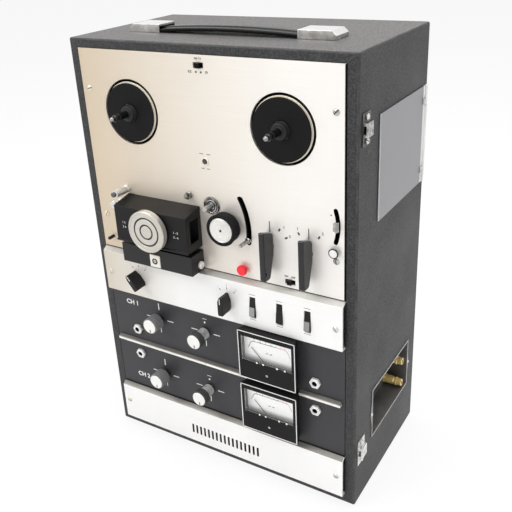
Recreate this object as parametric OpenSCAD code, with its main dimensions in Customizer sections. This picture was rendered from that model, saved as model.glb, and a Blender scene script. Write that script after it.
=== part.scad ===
// Upright reel-to-reel tape recorder with two amplifier channels, as an assembly of separate pieces.
// The front faces -Y. Depths are measured from the cabinet's front edge, heights from its underside.

/* [Cabinet] */
// Outer width of the cabinet
cab_w = 345; // [335:1:370]
// Outer height of the cabinet
cab_h = 517; // [505:1:545]
// Outer depth of the cabinet
cab_d = 190; // [180:1:215]
// Thickness of the side walls
side_wall = 12; // [10:0.5:14]
// Thickness of the top wall
top_wall = 10; // [8:0.5:13]
// Thickness of the floor
floor_wall = 12; // [9:0.5:14]
// Gap between a front panel and the cabinet
panel_gap = 0.5; // [0.3:0.1:1]
// Height of a rubber foot
foot_h = 3; // [2:0.5:8]
// Diameter of a rubber foot
foot_d = 24; // [16:1:32]
// Distance of a foot's centre from the cabinet's edges
foot_inset = 34; // [24:1:50]
// Depth of the step that the rear panel sits in
rear_inset = 2.5; // [2:0.5:6]
// Thickness of the rear panel
rear_t = 4; // [3:0.5:6]
// Width of the rails that carry the panels
rail_w = 6.5; // [5:0.5:7]

/* [Front panels] */
// Height of the lower vent panel
low_h = 54.5; // [50:0.5:60]
// Height of the amplifier panel
amp_h = 143; // [141:0.5:150]
// Height of the control strip
strip_h = 56.4; // [52:0.2:62]
// How far the deck plate stands in front of the cabinet's edge
deck_proud = 1; // [0.5:0.1:2]
// How far the control strip stands in front
strip_proud = 7; // [6:0.5:9]
// How far the lower panel stands in front
low_proud = 6; // [5:0.5:9]
// Depth of the seat that all front panels rest on
seat_y = 2; // [1.5:0.1:3]
// Thickness of the folded sheet of strip and lower panel
sheet_t = 2; // [1.2:0.1:2.5]
// Height of the bevel along a panel's top edge
bevel_h = 4; // [2:0.5:6]
// Gap between one front panel and the next
seam = 0.3; // [0.2:0.1:0.6]
// Number of vent slots
vent_count = 17; // [9:1:21]
// Distance between vent slots
vent_pitch = 6; // [5:0.25:7]
// Height of the vent slots' middle above the panel's lower edge
vent_up = 19.5; // [16:0.5:26]
// Height of a vent slot
vent_h = 13; // [8:0.5:18]
// Width of a vent slot
vent_w = 2.6; // [2:0.1:3.5]
// Height of the divider bar
bar_h = 5.5; // [4:0.5:7]
// How far the divider bar stands in front of the amplifier panel
bar_proud = 5; // [3:0.5:8]
// Head diameter of a panel screw
screw_d = 7; // [5:0.5:8]
// Head height of a panel screw
screw_t = 1.4; // [1:0.1:2]

/* [Reels] */
// Distance between the two reel spindles, for 7 inch reels
reel_spacing = 187.4; // [182:0.2:200]
// Distance of the spindles below the deck plate's top edge
reel_drop = 66.5; // [60:0.5:72]
// Diameter of a turntable
table_d = 67; // [60:0.5:72]
// Thickness of a turntable
table_t = 9.5; // [8:0.5:10]
// How far a turntable stands in front of the cabinet's edge
table_front = 3.5; // [2.5:0.1:5]
// Gap between a turntable and its hole in the deck plate
table_gap = 2.75; // [1.5:0.25:4]
// Thickness of a turntable mat
mat_t = 1.5; // [1.1:0.1:2.5]
// Depth of the recess that the mat lies in
mat_recess = 1; // [0.5:0.1:1.5]
// Width of the bare rim around a mat
mat_rim = 2.3; // [1.5:0.1:4]
// Diameter of a spindle's hub
hub_d = 19; // [15:0.5:24]
// How far the hub stands in front of the turntable
hub_h = 6.5; // [4:0.5:9]
// Diameter of a spindle
spindle_d = 7.9; // [7.5:0.05:8]
// How far a spindle stands in front of the cabinet's edge
spindle_front = 35; // [30:0.5:36]
// Width of the grooves along a spindle
groove_w = 1.4; // [1:0.1:1.8]
// Depth of the grooves along a spindle
groove_depth = 0.8; // [0.5:0.1:1.2]
// Diameter of a turntable shaft
reel_shaft_d = 10; // [8:0.5:12]

/* [Drive] */
// Sideways place of the capstan
capstan_x = 4.3; // [2:0.1:8]
// Height of the capstan above the deck plate's lower edge
capstan_up = 79.7; // [76:0.1:84]
// Diameter of the capstan
capstan_d = 6; // [5:0.5:8]
// How far the capstan stands in front
capstan_front = 16; // [14:0.5:22]
// Diameter of the capstan's flange
flange_d = 14; // [12:0.5:16]
// Diameter of the flywheel
flywheel_d = 76; // [66:1:84]
// Thickness of the flywheel
flywheel_t = 12; // [8:0.5:13]
// Sideways place of the motor
motor_x = -62; // [-70:1:-58]
// Height of the motor's axis above the deck plate's lower edge
motor_up = 22; // [16:1:26]
// Diameter of the motor
motor_d = 64; // [50:1:66]
// Length of the motor
motor_len = 60; // [45:1:75]
// Diameter of the motor pulley
pulley_d = 16; // [12:0.5:20]
// Diameter of the motor shaft
motor_shaft_d = 6; // [5:0.5:7]
// Thickness of the belt
belt_t = 1.2; // [0.8:0.1:2]
// Width of the belt
belt_w = 5; // [3:0.5:7]

/* [Pinch roller and shut-off arm] */
// Diameter of the pinch roller
roller_d = 34; // [28:0.5:36]
// Thickness of the pinch roller
roller_t = 15; // [12:0.5:15.5]
// How far the pinch roller stands in front
roller_front = 20; // [19:0.5:24]
// Diameter of the pin that the roller turns on
roller_pin_d = 6; // [5:0.5:8]
// Travel of the roller up to the capstan
roller_open = 8; // [6:0.5:10]
// Direction from the capstan to the roller, below the horizontal
roller_dir = 41.4; // [36:0.1:46]
// Length of the pinch arm
pinch_arm_len = 40; // [36:0.5:46]
// Radius of the shut-off arm's slot
slot_r = 81.4; // [79:0.1:84]
// Sideways place of the shut-off arm's pivot
shut_x = -32; // [-34:0.5:-30]
// Height of the shut-off arm's pivot above the deck plate's lower edge
shut_up = 56; // [54:0.5:58]
// Angle of the shut-off post at rest
shut_low = -6; // [-8:0.5:-4]
// Turn of the shut-off arm up to its raised place
shut_turn = 31; // [20:0.5:32]
// Width of the curved slots
slot_w = 4.8; // [4.2:0.1:5.5]
// Diameter of the shut-off post
shut_post_d = 3; // [2.5:0.1:3.5]
// How far the shut-off post stands in front
shut_post_front = 20; // [15:0.5:30]

/* [Levers] */
// Distance of the play lever from the deck plate's right edge
play_from_edge = 85; // [82:0.5:88]
// Distance of the wind lever from the deck plate's right edge
wind_from_edge = 39.8; // [36:0.2:42]
// Height of the lever pivots above the deck plate's lower edge
lever_up = 46.4; // [43:0.2:50]
// Length of a lever above its pivot
lever_top = 22; // [18:0.5:24]
// Length of a lever below its pivot
lever_tail = 35; // [30:0.5:37]
// Width of a lever at the deck plate
lever_w = 8.6; // [7.5:0.1:10]
// Width of a lever at its front ridge
lever_ridge = 6.5; // [5:0.1:7]
// How far a lever stands in front
lever_front = 20; // [16:0.5:24]
// How far a lever's top falls towards the deck plate
lever_rake = 7; // [4:0.5:8]
// Thickness of a lever's lifted tail
tail_t = 11; // [9:0.5:12]
// Diameter of a lever shaft
lever_shaft_d = 8; // [6:0.5:8]
// Distance of the pause slot from the deck plate's right edge
pause_from_edge = 7.5; // [6.5:0.1:9]
// Height of the pause lever's pivot above the deck plate's lower edge
pause_up = 81; // [78:0.5:86]
// Radius of the pause slot
pause_r = 55; // [50:0.5:58]
// Half of the pause slot's angle
pause_half = 18; // [17:0.5:20]

/* [Buttons and deck switches] */
// Height of the start button above the deck plate's lower edge
start_up = 53.7; // [53.2:0.1:56]
// Distance of the start button from the deck plate's right edge
start_from_edge = 11.1; // [9:0.1:13]
// Diameter of the start button
start_d = 10; // [8:0.5:12]
// Sideways place of the record button
record_x = 41; // [37:0.5:45]
// Height of the record button above the deck plate's lower edge
record_up = 11.7; // [10:0.1:14]
// Diameter of the record button
record_d = 12; // [10:0.5:14]
// Diameter of a button's stem
stem_d = 6; // [5:0.5:7]
// Travel of a button
button_travel = 3; // [2:0.5:4]
// Width of a slide switch's slot
slide_w = 12.2; // [11:0.2:14]
// Height of a slide switch's slot
slide_h = 5.8; // [5:0.1:7]
// Travel of a slide switch to each side
slide_travel = 3; // [2:0.25:3.5]
// Distance of the speed switch below the deck plate's top edge
speed_drop = 10.3; // [9:0.1:13]
// Distance of the shut-off switch from the deck plate's right edge
auto_from_edge = 62.7; // [60:0.1:66]
// Height of the shut-off switch above the deck plate's lower edge
auto_up = 8.1; // [7.5:0.1:10]
// Height of the lamp above the middle between capstan and spindles
lamp_rise = 2.5; // [-4:0.5:8]
// Diameter of the lamp's ring
lamp_d = 9; // [7:0.5:11]

/* [Head cover] */
// Distance of the head cover from the deck plate's left edge
head_from_edge = 48; // [46:0.5:52]
// Width of the head cover
head_w = 100; // [96:0.5:101]
// Height of the head cover above the deck plate's lower edge
head_up = 28.7; // [28:0.1:31]
// Height of the head cover at the deck plate
head_h = 47.6; // [44:0.2:49]
// Drop of the head cover's top towards the front
head_slope = 5; // [2:0.5:6]
// How far the head cover stands in front
head_front = 29; // [26:0.5:30]
// Wall of the head cover
head_wall = 2.5; // [2:0.1:3]
// Height of the lower head block
block_h = 23.5; // [20:0.5:26]
// How far the lower head block stands in front
block_front = 25; // [22:0.5:28]
// Diameter of the round emblem
badge_d = 49; // [44:0.5:50]
// Thickness of the round emblem
badge_t = 8.5; // [4:0.5:9]
// Width of one tape head
tape_head_w = 13; // [10:0.5:16]
// Height of one tape head
tape_head_h = 16; // [12:0.5:18]
// Depth of one tape head
tape_head_t = 14; // [10:0.5:15]
// Distance between tape heads
tape_head_pitch = 28; // [22:0.5:30]
// How far the head cover pulls off
cover_pull = 32; // [30:1:60]

/* [Control strip] */
// Distance of the left bar knob from the strip's left edge
source_from_edge = 53.5; // [48:0.5:60]
// Distance of the right bar knob from the strip's right edge
mode_from_edge = 140; // [134:0.5:146]
// Length of a bar knob
bar_knob_len = 22; // [20:0.5:28]
// Width of a bar knob
bar_knob_w = 9; // [7:0.5:12]
// How far a bar knob stands off the strip
bar_knob_h = 13; // [10:0.5:16]
// Turn of the left bar knob in its stored place
source_turn = 37; // [0:1:45]
// Distance of the first rocker switch from the strip's right edge
rocker_from_edge = 107.4; // [106:0.2:110]
// Distance between rocker switches
rocker_pitch = 33.6; // [30:0.2:36]
// Width of a rocker's slot
rocker_w = 7.5; // [6:0.1:9]
// Height of a rocker's slot
rocker_h = 26; // [22:0.5:28]
// Tilt of a rocker to each side
rocker_tilt = 12; // [8:0.5:13]
// Diameter of a control shaft
control_shaft_d = 6; // [5:0.5:7]

/* [Amplifier panel] */
// Distance of the upper knobs above the amplifier panel's middle
knob_rise = 41.7; // [39:0.1:43]
// Distance of the lower knobs below the amplifier panel's middle
knob_fall = 39; // [37:0.1:42]
// Distance of the microphone knobs from the panel's left edge
mic_from_edge = 72; // [68:0.5:76]
// Distance of the line knobs from the panel's left edge
line_from_edge = 140; // [136:0.5:144]
// Diameter of a level knob
knob_d = 20; // [16:0.5:23]
// How far a microphone knob stands in front
mic_front = 21.5; // [18:0.5:26]
// How far a line knob stands in front
line_front = 25.2; // [22:0.2:30]
// Length of a level knob's grip
grip_h = 16; // [12:0.5:17]
// Diameter of a potentiometer
pot_d = 24; // [18:0.5:26]
// Distance of the phone jacks from the panel's edges
jack_from_edge = 35; // [32:0.5:37]
// Distance of the upper jacks above the amplifier panel's middle
jack_rise = 17.7; // [15:0.1:22]
// Distance of the lower jacks below the amplifier panel's middle
jack_fall = 18.8; // [16:0.1:22]
// Diameter of a phone jack's bore, for a quarter inch plug
jack_bore = 6.4; // [6.35:0.01:6.5]
// Width of a jack's hex nut across its flats
nut_af = 12; // [11.5:0.5:14]
// Diameter of a phone jack's threaded barrel
barrel_d = 9.4; // [9:0.1:10]
// Distance of the meters' middle from the panel's right edge
meter_from_edge = 88.1; // [87:0.1:89]
// Width of a meter's front
meter_w = 73.4; // [72:0.2:75]
// Width of a meter at the panel
meter_foot_w = 83; // [80:0.5:84]
// Height of a meter
meter_h = 63.3; // [62:0.1:64]
// How far a meter stands in front
meter_front = 15.5; // [14:0.5:18]
// Gap between the upper meter and the control strip
meter_top_gap = 1.4; // [1:0.1:2]
// Distance between the middles of the two meters
meter_pitch = 71.8; // [71:0.1:73]
// Length of a meter needle
needle_len = 38; // [34:0.5:39]
// Angle of the needle at rest, to the left of upright
needle_rest = 44; // [40:0.5:45]

/* [Sides and top] */
// Distance of the flap's hinge from the cabinet's rear
hinge_from_rear = 9; // [8:0.5:12]
// Depth of a flap
flap_d = 132; // [126:0.5:136]
// Height of a flap
flap_h = 111.5; // [104:0.5:118]
// Height of a flap's lower edge
flap_z = 339; // [330:0.5:345]
// Thickness of a flap
flap_t = 1.2; // [0.8:0.1:1.5]
// Diameter of a flap's hinge pin
hinge_pin_d = 1.6; // [1.4:0.1:1.8]
// Diameter of a speaker's mouth
speaker_d = 84; // [70:1:90]
// Distance of the jack bay from the cabinet's rear
bay_from_rear = 28; // [26:0.5:32]
// Depth of the jack bay's opening
bay_w = 113.5; // [104:0.5:116]
// Height of the jack bay's opening
bay_h = 62.5; // [56:0.5:68]
// Height of the jack bay's lower edge
bay_z = 67; // [62:0.5:72]
// How deep the jack bay reaches into the cabinet
bay_depth = 24.5; // [20:0.5:28]
// Thickness of the jack bay's sheet
bay_t = 1.2; // [0.8:0.1:1.6]
// Width of the bright rim around the jack bay
bay_rim = 2.2; // [2:0.1:4]
// Thickness of the jack bay's rim
bay_rim_t = 1; // [0.6:0.1:1.5]
// Diameter of a phono socket
rca_d = 8.3; // [8:0.1:9]
// Height of a latch keeper
latch_h = 32; // [26:0.5:36]
// Width of a latch keeper
latch_w = 18; // [17:0.5:22]
// Distance of the handle from the cabinet's front
handle_y = 50; // [44:0.5:60]
// Width of the handle strap
strap_w = 27; // [22:0.5:32]
// Thickness of the handle strap
strap_t = 5; // [4:0.25:6.5]
// Rise of the strap in its middle
strap_bow = 3.5; // [2:0.25:3.75]
// Length of the strap
strap_len = 190; // [170:1:200]
// Length of a handle cap
cap_len = 42; // [36:0.5:46]
// Height of a handle cap
cap_rise = 9; // [8.5:0.25:12]

/* [Hidden] */
$fn = 64;

// Radial clearance of a shaft that runs in a bore
run = 0.05;
// Radial clearance of a flap on its hinge pin
hinge_play = 0.09;
// Clearance between pieces that pass each other
clear = 0.3;
// Overlap that joins two solids of one piece
bite = 0.5;
// Step between a straight or curved run and its round end
ease = 0.1;

// Cabinet and panel lines
in_w = cab_w / 2 - side_wall;
panel_w = in_w - panel_gap;
in_top = cab_h - top_wall;
low_z = floor_wall + panel_gap;
low_top = low_z + low_h;
amp_z = low_top + seam;
amp_top = amp_z + amp_h;
amp_mid = (amp_z + amp_top) / 2;
strip_z = amp_top + seam;
strip_top = strip_z + strip_h;
deck_z = strip_top + seam;
deck_top = in_top - panel_gap;
strip_mid = strip_z + 25.4;
rear_y = cab_d - rear_inset - rear_t;

// The chassis plate and the rails behind it
chassis_y = seat_y + 20;
chassis_t = 2.5;
chassis_back = chassis_y + chassis_t;
upper_rail_w = rail_w + 5.5;
rail_d = 12;

// Reels
reel_x = reel_spacing / 2;
reel_z = deck_top - reel_drop;
table_hole_d = table_d + 2 * table_gap;
table_back = table_t - table_front;
mat_y = -table_front + mat_recess;
reel_bearing_d = reel_shaft_d + 10;
reel_bearing_back = chassis_back + 16;
brake_d = 28;
brake_t = 10;

// Drive
capstan_z = deck_z + capstan_up;
motor_z = deck_z + motor_up;
capstan_bearing_d = flange_d + 4;
drive_y = chassis_back + 20;
motor_y = drive_y + flywheel_t + 2;
belt_dx = motor_x - capstan_x;
belt_dz = motor_z - capstan_z;
belt_len = sqrt(belt_dx * belt_dx + belt_dz * belt_dz);
belt_dir = atan2(belt_dz, belt_dx);

// Pinch roller
roller_gap = (capstan_d + roller_d) / 2 + clear + roller_open;
roller_x = capstan_x + roller_gap * cos(roller_dir);
roller_z = capstan_z - roller_gap * sin(roller_dir);
roller_in = [roller_x - roller_open * cos(roller_dir), roller_z + roller_open * sin(roller_dir)];
pinch_x = roller_x - pinch_arm_len * sin(roller_dir);
pinch_z = roller_z - pinch_arm_len * cos(roller_dir);
pinch_back = -roller_front + roller_t;
shoulder_d = roller_pin_d + 4;
pivot_d = 7;
arm_w = 7;
hub_wall = 8;

// Shut-off arm
shut_z = deck_z + shut_up;
shut_bend = 15;
shut_elbow_r = slot_r - 21;
shut_y = chassis_y - 8;
slot_over = 2.2;

// Levers
play_x = panel_w - play_from_edge;
wind_x = panel_w - wind_from_edge;
lever_z = deck_z + lever_up;
lever_back = -deck_proud - clear;
pause_x = panel_w - pause_from_edge - pause_r;
pause_z = deck_z + pause_up;
pause_post_d = 6;
pause_tab_t = slot_w - 1.8;
pause_tab_h = 7;
pause_tab_front = 7;

// Buttons and switches
start_x = panel_w - start_from_edge;
start_z = deck_z + start_up;
record_z = deck_z + record_up;
cap_back = -deck_proud - clear - button_travel;
speed_z = deck_top - speed_drop;
tab_w = 5;
auto_x = panel_w - auto_from_edge;
auto_z = deck_z + auto_up;
lamp_z = (reel_z + capstan_z) / 2 + lamp_rise;

// Screws in the panels
deck_screw_x = panel_w - 9.5;
deck_screw_hi = deck_top - 44;
deck_screw_lo = deck_z + 43.6;
strip_screw_x = panel_w - 8;
low_screw_z = low_z + 28;

// Heads
head_x = -panel_w + head_from_edge;
head_end = head_x + head_w;
head_mid = head_x + head_w / 2;
head_z = deck_z + head_up;
head_top = head_z + head_h;
block_x = head_x + 1.5;
block_z = deck_z + 0.2;
badge_z = head_z + 21;
head_plate_t = 3;
head_plate_y = -deck_proud - head_plate_t;
tape_head_z = head_z + 10;
thumb_d = 9;
thumb_t = 4;
guide_front = 29;
guide_tip = 3.5;

// Control strip
source_x = -panel_w + source_from_edge;
mode_x = panel_w - mode_from_edge;
rocker_x = panel_w - rocker_from_edge;
rocker_y = -strip_proud + sheet_t + 2;
rocker_pin_d = 2;

// Amplifier panel
mic_x = -panel_w + mic_from_edge;
line_x = -panel_w + line_from_edge;
jack_x = panel_w - jack_from_edge;
meter_x = panel_w - meter_from_edge;
knob_hi = amp_mid + knob_rise;
knob_lo = amp_mid - knob_fall;
jack_hi = amp_mid + jack_rise;
jack_lo = amp_mid - jack_fall;
meter_hi = strip_z - meter_top_gap - meter_h / 2;
meter_lo = meter_hi - meter_pitch;
jack_len = 25;
pot_t = 14;
bush_d = control_shaft_d + 3;
can_d = 48;
dial_y = -meter_front + 9.5;
needle_drop = 15;
needle_pin_d = 2;
window_w = meter_w - 10;
window_z = -meter_h / 2 + 26;
window_top = meter_h / 2 - 4;

// Sides
hinge_y = cab_d - hinge_from_rear;
flap_y = hinge_y - flap_d;
knuckle_d = hinge_pin_d + 1.6;
flap_gap = 0.4;
hinge_x = cab_w / 2 + knuckle_d / 2 + flap_gap;
speaker_y = flap_y + flap_d / 2;
speaker_z = flap_z + flap_h / 2;
bay_y = cab_d - bay_from_rear - bay_w;
bay_x = cab_w / 2 - bay_depth;
rca_y = bay_y + bay_w - 12;
latch_y = 15.5;
latch_hi = cab_h - 72;
latch_lo = 70;
strap_r = (strap_len * strap_len / 4 + strap_bow * strap_bow) / (2 * strap_bow);
pocket_d = 10;
inlet_x = -panel_w + 50;
inlet_z = 60;
inlet_w = 26;
inlet_h = 16;
rear_vent_z = 122;
rear_vent_pitch = 12;

// Amplifier unit and mains transformer on the cabinet's floor
unit_x = -60;
unit_y = 62;
unit_w = 190;
unit_d = 96;
unit_t = 2;
board_y = 100;
board_t = 1.6;
board_h = 110;
cell_d = 24;
cell_h = 46;
cell_pitch = 30;
cell_x = 20;
cell_back = 20;
fin_x = 40;
fin_y = 15;
fin_d = 35;
fin_t = 3;
fin_h = 60;
fin_pitch = 12;
mains_x = -panel_w + 45;
mains_y = 120;
mains_w = 54;
mains_d = 32;
mains_h = 60;
mains_foot_w = 62;
mains_foot_d = 56;
mains_foot_t = 3;
winding_z = 12;
winding_h = 38;
winding_w = 30;
winding_d = 52;

// The box is centred front to back between the emblem's face and the cabinet's rear
front_reach = max(head_front + badge_t, spindle_front, line_front);
front_y = -(cab_d - front_reach) / 2;

// Sets a piece in place: the cabinet's front edge and underside to the part's frame
module place() {
    translate([0, front_y, foot_h]) children();
}

// A box between two corners
module box(low, high) {
    translate(low) cube(high - low);
}

// A cylinder along Y at x, z
module ycyl(x, z, y0, y1, d) {
    translate([x, y0, z]) rotate([-90, 0, 0]) cylinder(d = d, h = y1 - y0);
}

// A cylinder along X at y, z
module xcyl(x0, x1, y, z, d) {
    translate([x0, y, z]) rotate([0, 90, 0]) cylinder(d = d, h = x1 - x0);
}

// A box of width w and height h around x, z, from depth y0 to y1
module slab(x, z, w, h, y0, y1) {
    translate([x - w / 2, y0, z - h / 2]) cube([w, y1 - y0, h]);
}

// Extrudes an outline in x, z from depth y0 to y1
module yprism(y0, y1) {
    translate([0, y1, 0]) rotate([90, 0, 0]) linear_extrude(y1 - y0) children();
}

// Extrudes an outline in y, z from x0 to x1
module xprism(x0, x1) {
    translate([x0, 0, 0]) rotate([90, 0, 90]) linear_extrude(x1 - x0) children();
}

// A curved slot's outline around the origin, from angle a0 to a1
module arc_slot(r, a0, a1, w) {
    intersection() {
        difference() {
            circle(r + w / 2, $fn = 180);
            circle(r - w / 2, $fn = 180);
        }
        polygon([[0, 0], [2 * r * cos(a0), 2 * r * sin(a0)], [2 * r * cos(a1), 2 * r * sin(a1)]]);
    }
    for (a = [a0, a1]) rotate(a) translate([r, 0]) circle(d = w - 2 * ease, $fn = 32);
}

// A straight bar's outline with round ends, from one point to another
module link(from, to, w) {
    run_x = to[0] - from[0];
    run_z = to[1] - from[1];
    translate(from) circle(d = w);
    translate(to) circle(d = w);
    translate(from) rotate(atan2(run_z, run_x)) translate([0, -w / 2 + ease])
        square([norm([run_x, run_z]), w - 2 * ease]);
}

// Mirrors a piece onto both sides
module both_sides() {
    children();
    mirror([1, 0, 0]) children();
}

module cabinet_shell() {
    color("dimgray") place() difference() {
        union() {
            difference() {
                box([-cab_w / 2, 0, 0], [cab_w / 2, cab_d, cab_h]);
                box([-in_w, -1, floor_wall], [in_w, cab_d + 1, in_top]);
            }
            both_sides() {
                box([in_w - rail_w, seat_y, floor_wall - bite], [in_w + bite, chassis_y, deck_z - 1]);
                box([in_w - upper_rail_w, chassis_back, deck_z - 1],
                    [in_w + bite, chassis_back + rail_d, in_top + bite]);
                box([in_w - 10, rear_y - rail_d, floor_wall - bite], [in_w + bite, rear_y, in_top + bite]);
            }
        }
        both_sides() xcyl(in_w - 1, cab_w / 2 + 1, speaker_y, speaker_z, speaker_d);
        bay_cut = bay_t + clear;
        box([in_w - 1, bay_y - bay_cut, bay_z - bay_cut],
            [cab_w / 2 + 1, bay_y + bay_w + bay_cut, bay_z + bay_h + bay_cut]);
    }
}

module rear_panel() {
    color("saddlebrown") place() difference() {
        box([-panel_w, rear_y, floor_wall + panel_gap], [panel_w, rear_y + rear_t, deck_top]);
        slab(inlet_x, inlet_z, inlet_w + 0.4, inlet_h + 0.4, rear_y - 1, cab_d);
        for (k = [0:5]) slab(0, rear_vent_z + rear_vent_pitch * k, 60, 4, rear_y - 1, cab_d);
    }
}

module rubber_feet() {
    color("black") place() both_sides() for (y = [foot_inset, cab_d - foot_inset])
        translate([cab_w / 2 - foot_inset, y, -foot_h]) cylinder(d = foot_d, h = foot_h);
}

module handle_caps() {
    color("silver") place() both_sides() difference() {
        x0 = strap_len / 2 - pocket_d;
        yprism(handle_y, handle_y + strap_w + 2) polygon([[x0, cab_h], [x0 + cap_len, cab_h],
            [x0 + cap_len, cab_h + cap_rise / 2], [x0 + cap_len - 5, cab_h + cap_rise],
            [x0, cab_h + cap_rise]]);
        box([x0 - 1, handle_y + 1 - 0.15, cab_h - 1],
            [strap_len / 2 + clear, handle_y + 1 + strap_w + 0.15, cab_h + strap_t + 1.4]);
    }
}

module handle_strap() {
    color("black") place() intersection() {
        difference() {
            ring_z = cab_h + strap_bow - strap_r;
            translate([0, handle_y + 1, ring_z]) rotate([-90, 0, 0])
                cylinder(r = strap_r + strap_t, h = strap_w, $fn = 720);
            translate([0, handle_y, ring_z]) rotate([-90, 0, 0])
                cylinder(r = strap_r, h = strap_w + 2, $fn = 720);
        }
        box([-strap_len / 2, handle_y, cab_h], [strap_len / 2, handle_y + strap_w + 2, cab_h + 20]);
    }
}

// A keeper plate with a raised hook for the front cover's latch
module latch(z) {
    x = cab_w / 2;
    box([x, latch_y - latch_w / 2, z - latch_h / 2], [x + 1.2, latch_y + latch_w / 2, z + latch_h / 2]);
    difference() {
        box([x, latch_y - 7, z - 7], [x + 5, latch_y + 7, z + 7]);
        box([x + 1.2, latch_y - 8, z - 4], [x + 3.4, latch_y + 4, z + 4]);
    }
    for (s = [-1, 1]) xcyl(x, x + 2.2, latch_y, z + s * (latch_h / 2 - 4.5), 5);
}

// The fixed half of a flap's hinge with its pin
module hinge_leaf() {
    x = cab_w / 2;
    end = flap_h / 5;
    leaf_y = hinge_y + knuckle_d / 2 + clear;
    box([x, leaf_y, flap_z], [x + 1, cab_d - 2, flap_z + flap_h]);
    for (z = [flap_z, flap_z + flap_h - end]) {
        translate([hinge_x, hinge_y, z]) cylinder(d = knuckle_d, h = end);
        box([x, hinge_y, z], [x + 1, leaf_y + bite, z + end]);
    }
    translate([hinge_x, hinge_y, flap_z]) cylinder(d = hinge_pin_d, h = flap_h);
}

module side_fittings() {
    color("lightgray") place() both_sides() {
        latch(latch_hi);
        latch(latch_lo);
        hinge_leaf();
    }
}

module flap() {
    x = cab_w / 2 + flap_gap;
    end = flap_h / 5 + clear;
    difference() {
        union() {
            box([x, flap_y, flap_z], [x + flap_t, hinge_y - knuckle_d / 2 - clear, flap_z + flap_h]);
            box([x, hinge_y - knuckle_d, flap_z + end], [x + flap_t, hinge_y, flap_z + flap_h - end]);
            translate([hinge_x, hinge_y, flap_z + end]) cylinder(d = knuckle_d, h = flap_h - 2 * end);
        }
        translate([hinge_x, hinge_y, flap_z - 1]) cylinder(d = hinge_pin_d + 2 * hinge_play, h = flap_h + 2);
    }
}

module flap_right() {
    color("darkgray") place() flap();
}

module flap_left() {
    color("darkgray") place() mirror([1, 0, 0]) flap();
}

module speakers() {
    color("gray") place() both_sides() translate([in_w, speaker_y, speaker_z]) rotate([0, -90, 0]) {
        r = speaker_d / 2;
        rotate_extrude() polygon([[r + 8, 0], [r + 8, 3], [r + 3, 3], [r / 2, 24], [r / 2, 38], [0, 38],
            [0, 14], [r / 4, 14], [r - 2, 0]]);
    }
}

module jack_bay() {
    color("gray") place() difference() {
        x = cab_w / 2;
        union() {
            box([bay_x - bay_t, bay_y - bay_t, bay_z - bay_t],
                [x, bay_y + bay_w + bay_t, bay_z + bay_h + bay_t]);
            box([x, bay_y - bay_rim, bay_z - bay_rim],
                [x + bay_rim_t, bay_y + bay_w + bay_rim, bay_z + bay_h + bay_rim]);
        }
        box([bay_x, bay_y, bay_z], [x + 2, bay_y + bay_w, bay_z + bay_h]);
        for (z = [bay_z + 8, bay_z + 40]) xcyl(bay_x - 5, bay_x + 1, rca_y, z, rca_d + 0.3);
    }
}

module rca_jacks() {
    color("gold") place() for (z = [bay_z + 8, bay_z + 40]) difference() {
        union() {
            xcyl(bay_x - 6, cab_w / 2 - 0.5, rca_y, z, rca_d);
            xcyl(bay_x, bay_x + 2, rca_y, z, rca_d + 4);
        }
        xcyl(cab_w / 2 - 10, cab_w / 2, rca_y, z, 3.2);
    }
}

module deck_plate() {
    color("gainsboro") place() difference() {
        box([-panel_w, -deck_proud, deck_z], [panel_w, seat_y, deck_top]);
        for (s = [-1, 1]) {
            ycyl(s * reel_x, reel_z, -5, 5, table_hole_d);
            for (z = [deck_screw_hi, deck_screw_lo]) ycyl(s * deck_screw_x, z, -5, 5, screw_d - 3);
        }
        ycyl(capstan_x, capstan_z, -5, 5, flange_d + 2 * clear);
        for (x = [play_x, wind_x]) ycyl(x, lever_z, -5, 5, lever_shaft_d + 2 * clear);
        ycyl(start_x, start_z, -5, 5, stem_d + 2 * run);
        ycyl(record_x, record_z, -5, 5, stem_d + 2 * run);
        ycyl(0, lamp_z, -5, 5, lamp_d - 2);
        slab(0, speed_z, slide_w, slide_h, -5, 5);
        slab(auto_x, auto_z, slide_w, slide_h, -5, 5);
        yprism(-5, 5) translate([shut_x, shut_z])
            arc_slot(slot_r, shut_low - slot_over, shut_low + shut_turn + slot_over, slot_w);
        yprism(-5, 5) translate([pause_x, pause_z]) arc_slot(pause_r, -pause_half, pause_half, slot_w);
        yprism(-5, 5) link([roller_x, roller_z], roller_in, shoulder_d + 2);
    }
}

// A panel screw: a round head on the panel and a short shank in its hole
module screw(x, z, y) {
    ycyl(x, z, y - screw_t, y, screw_d);
    ycyl(x, z, y - bite, y + sheet_t - clear, screw_d - 3.4);
}

module panel_screws() {
    color("silver") place() {
        for (s = [-1, 1]) {
            for (z = [deck_screw_hi, deck_screw_lo]) screw(s * deck_screw_x, z, -deck_proud);
            screw(s * strip_screw_x, strip_mid, -strip_proud);
            screw(s * strip_screw_x, low_screw_z, -low_proud);
        }
        xcyl(head_end, head_end + thumb_t, -deck_proud - thumb_d, block_z + block_h / 2 - 3, thumb_d);
    }
}

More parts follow.
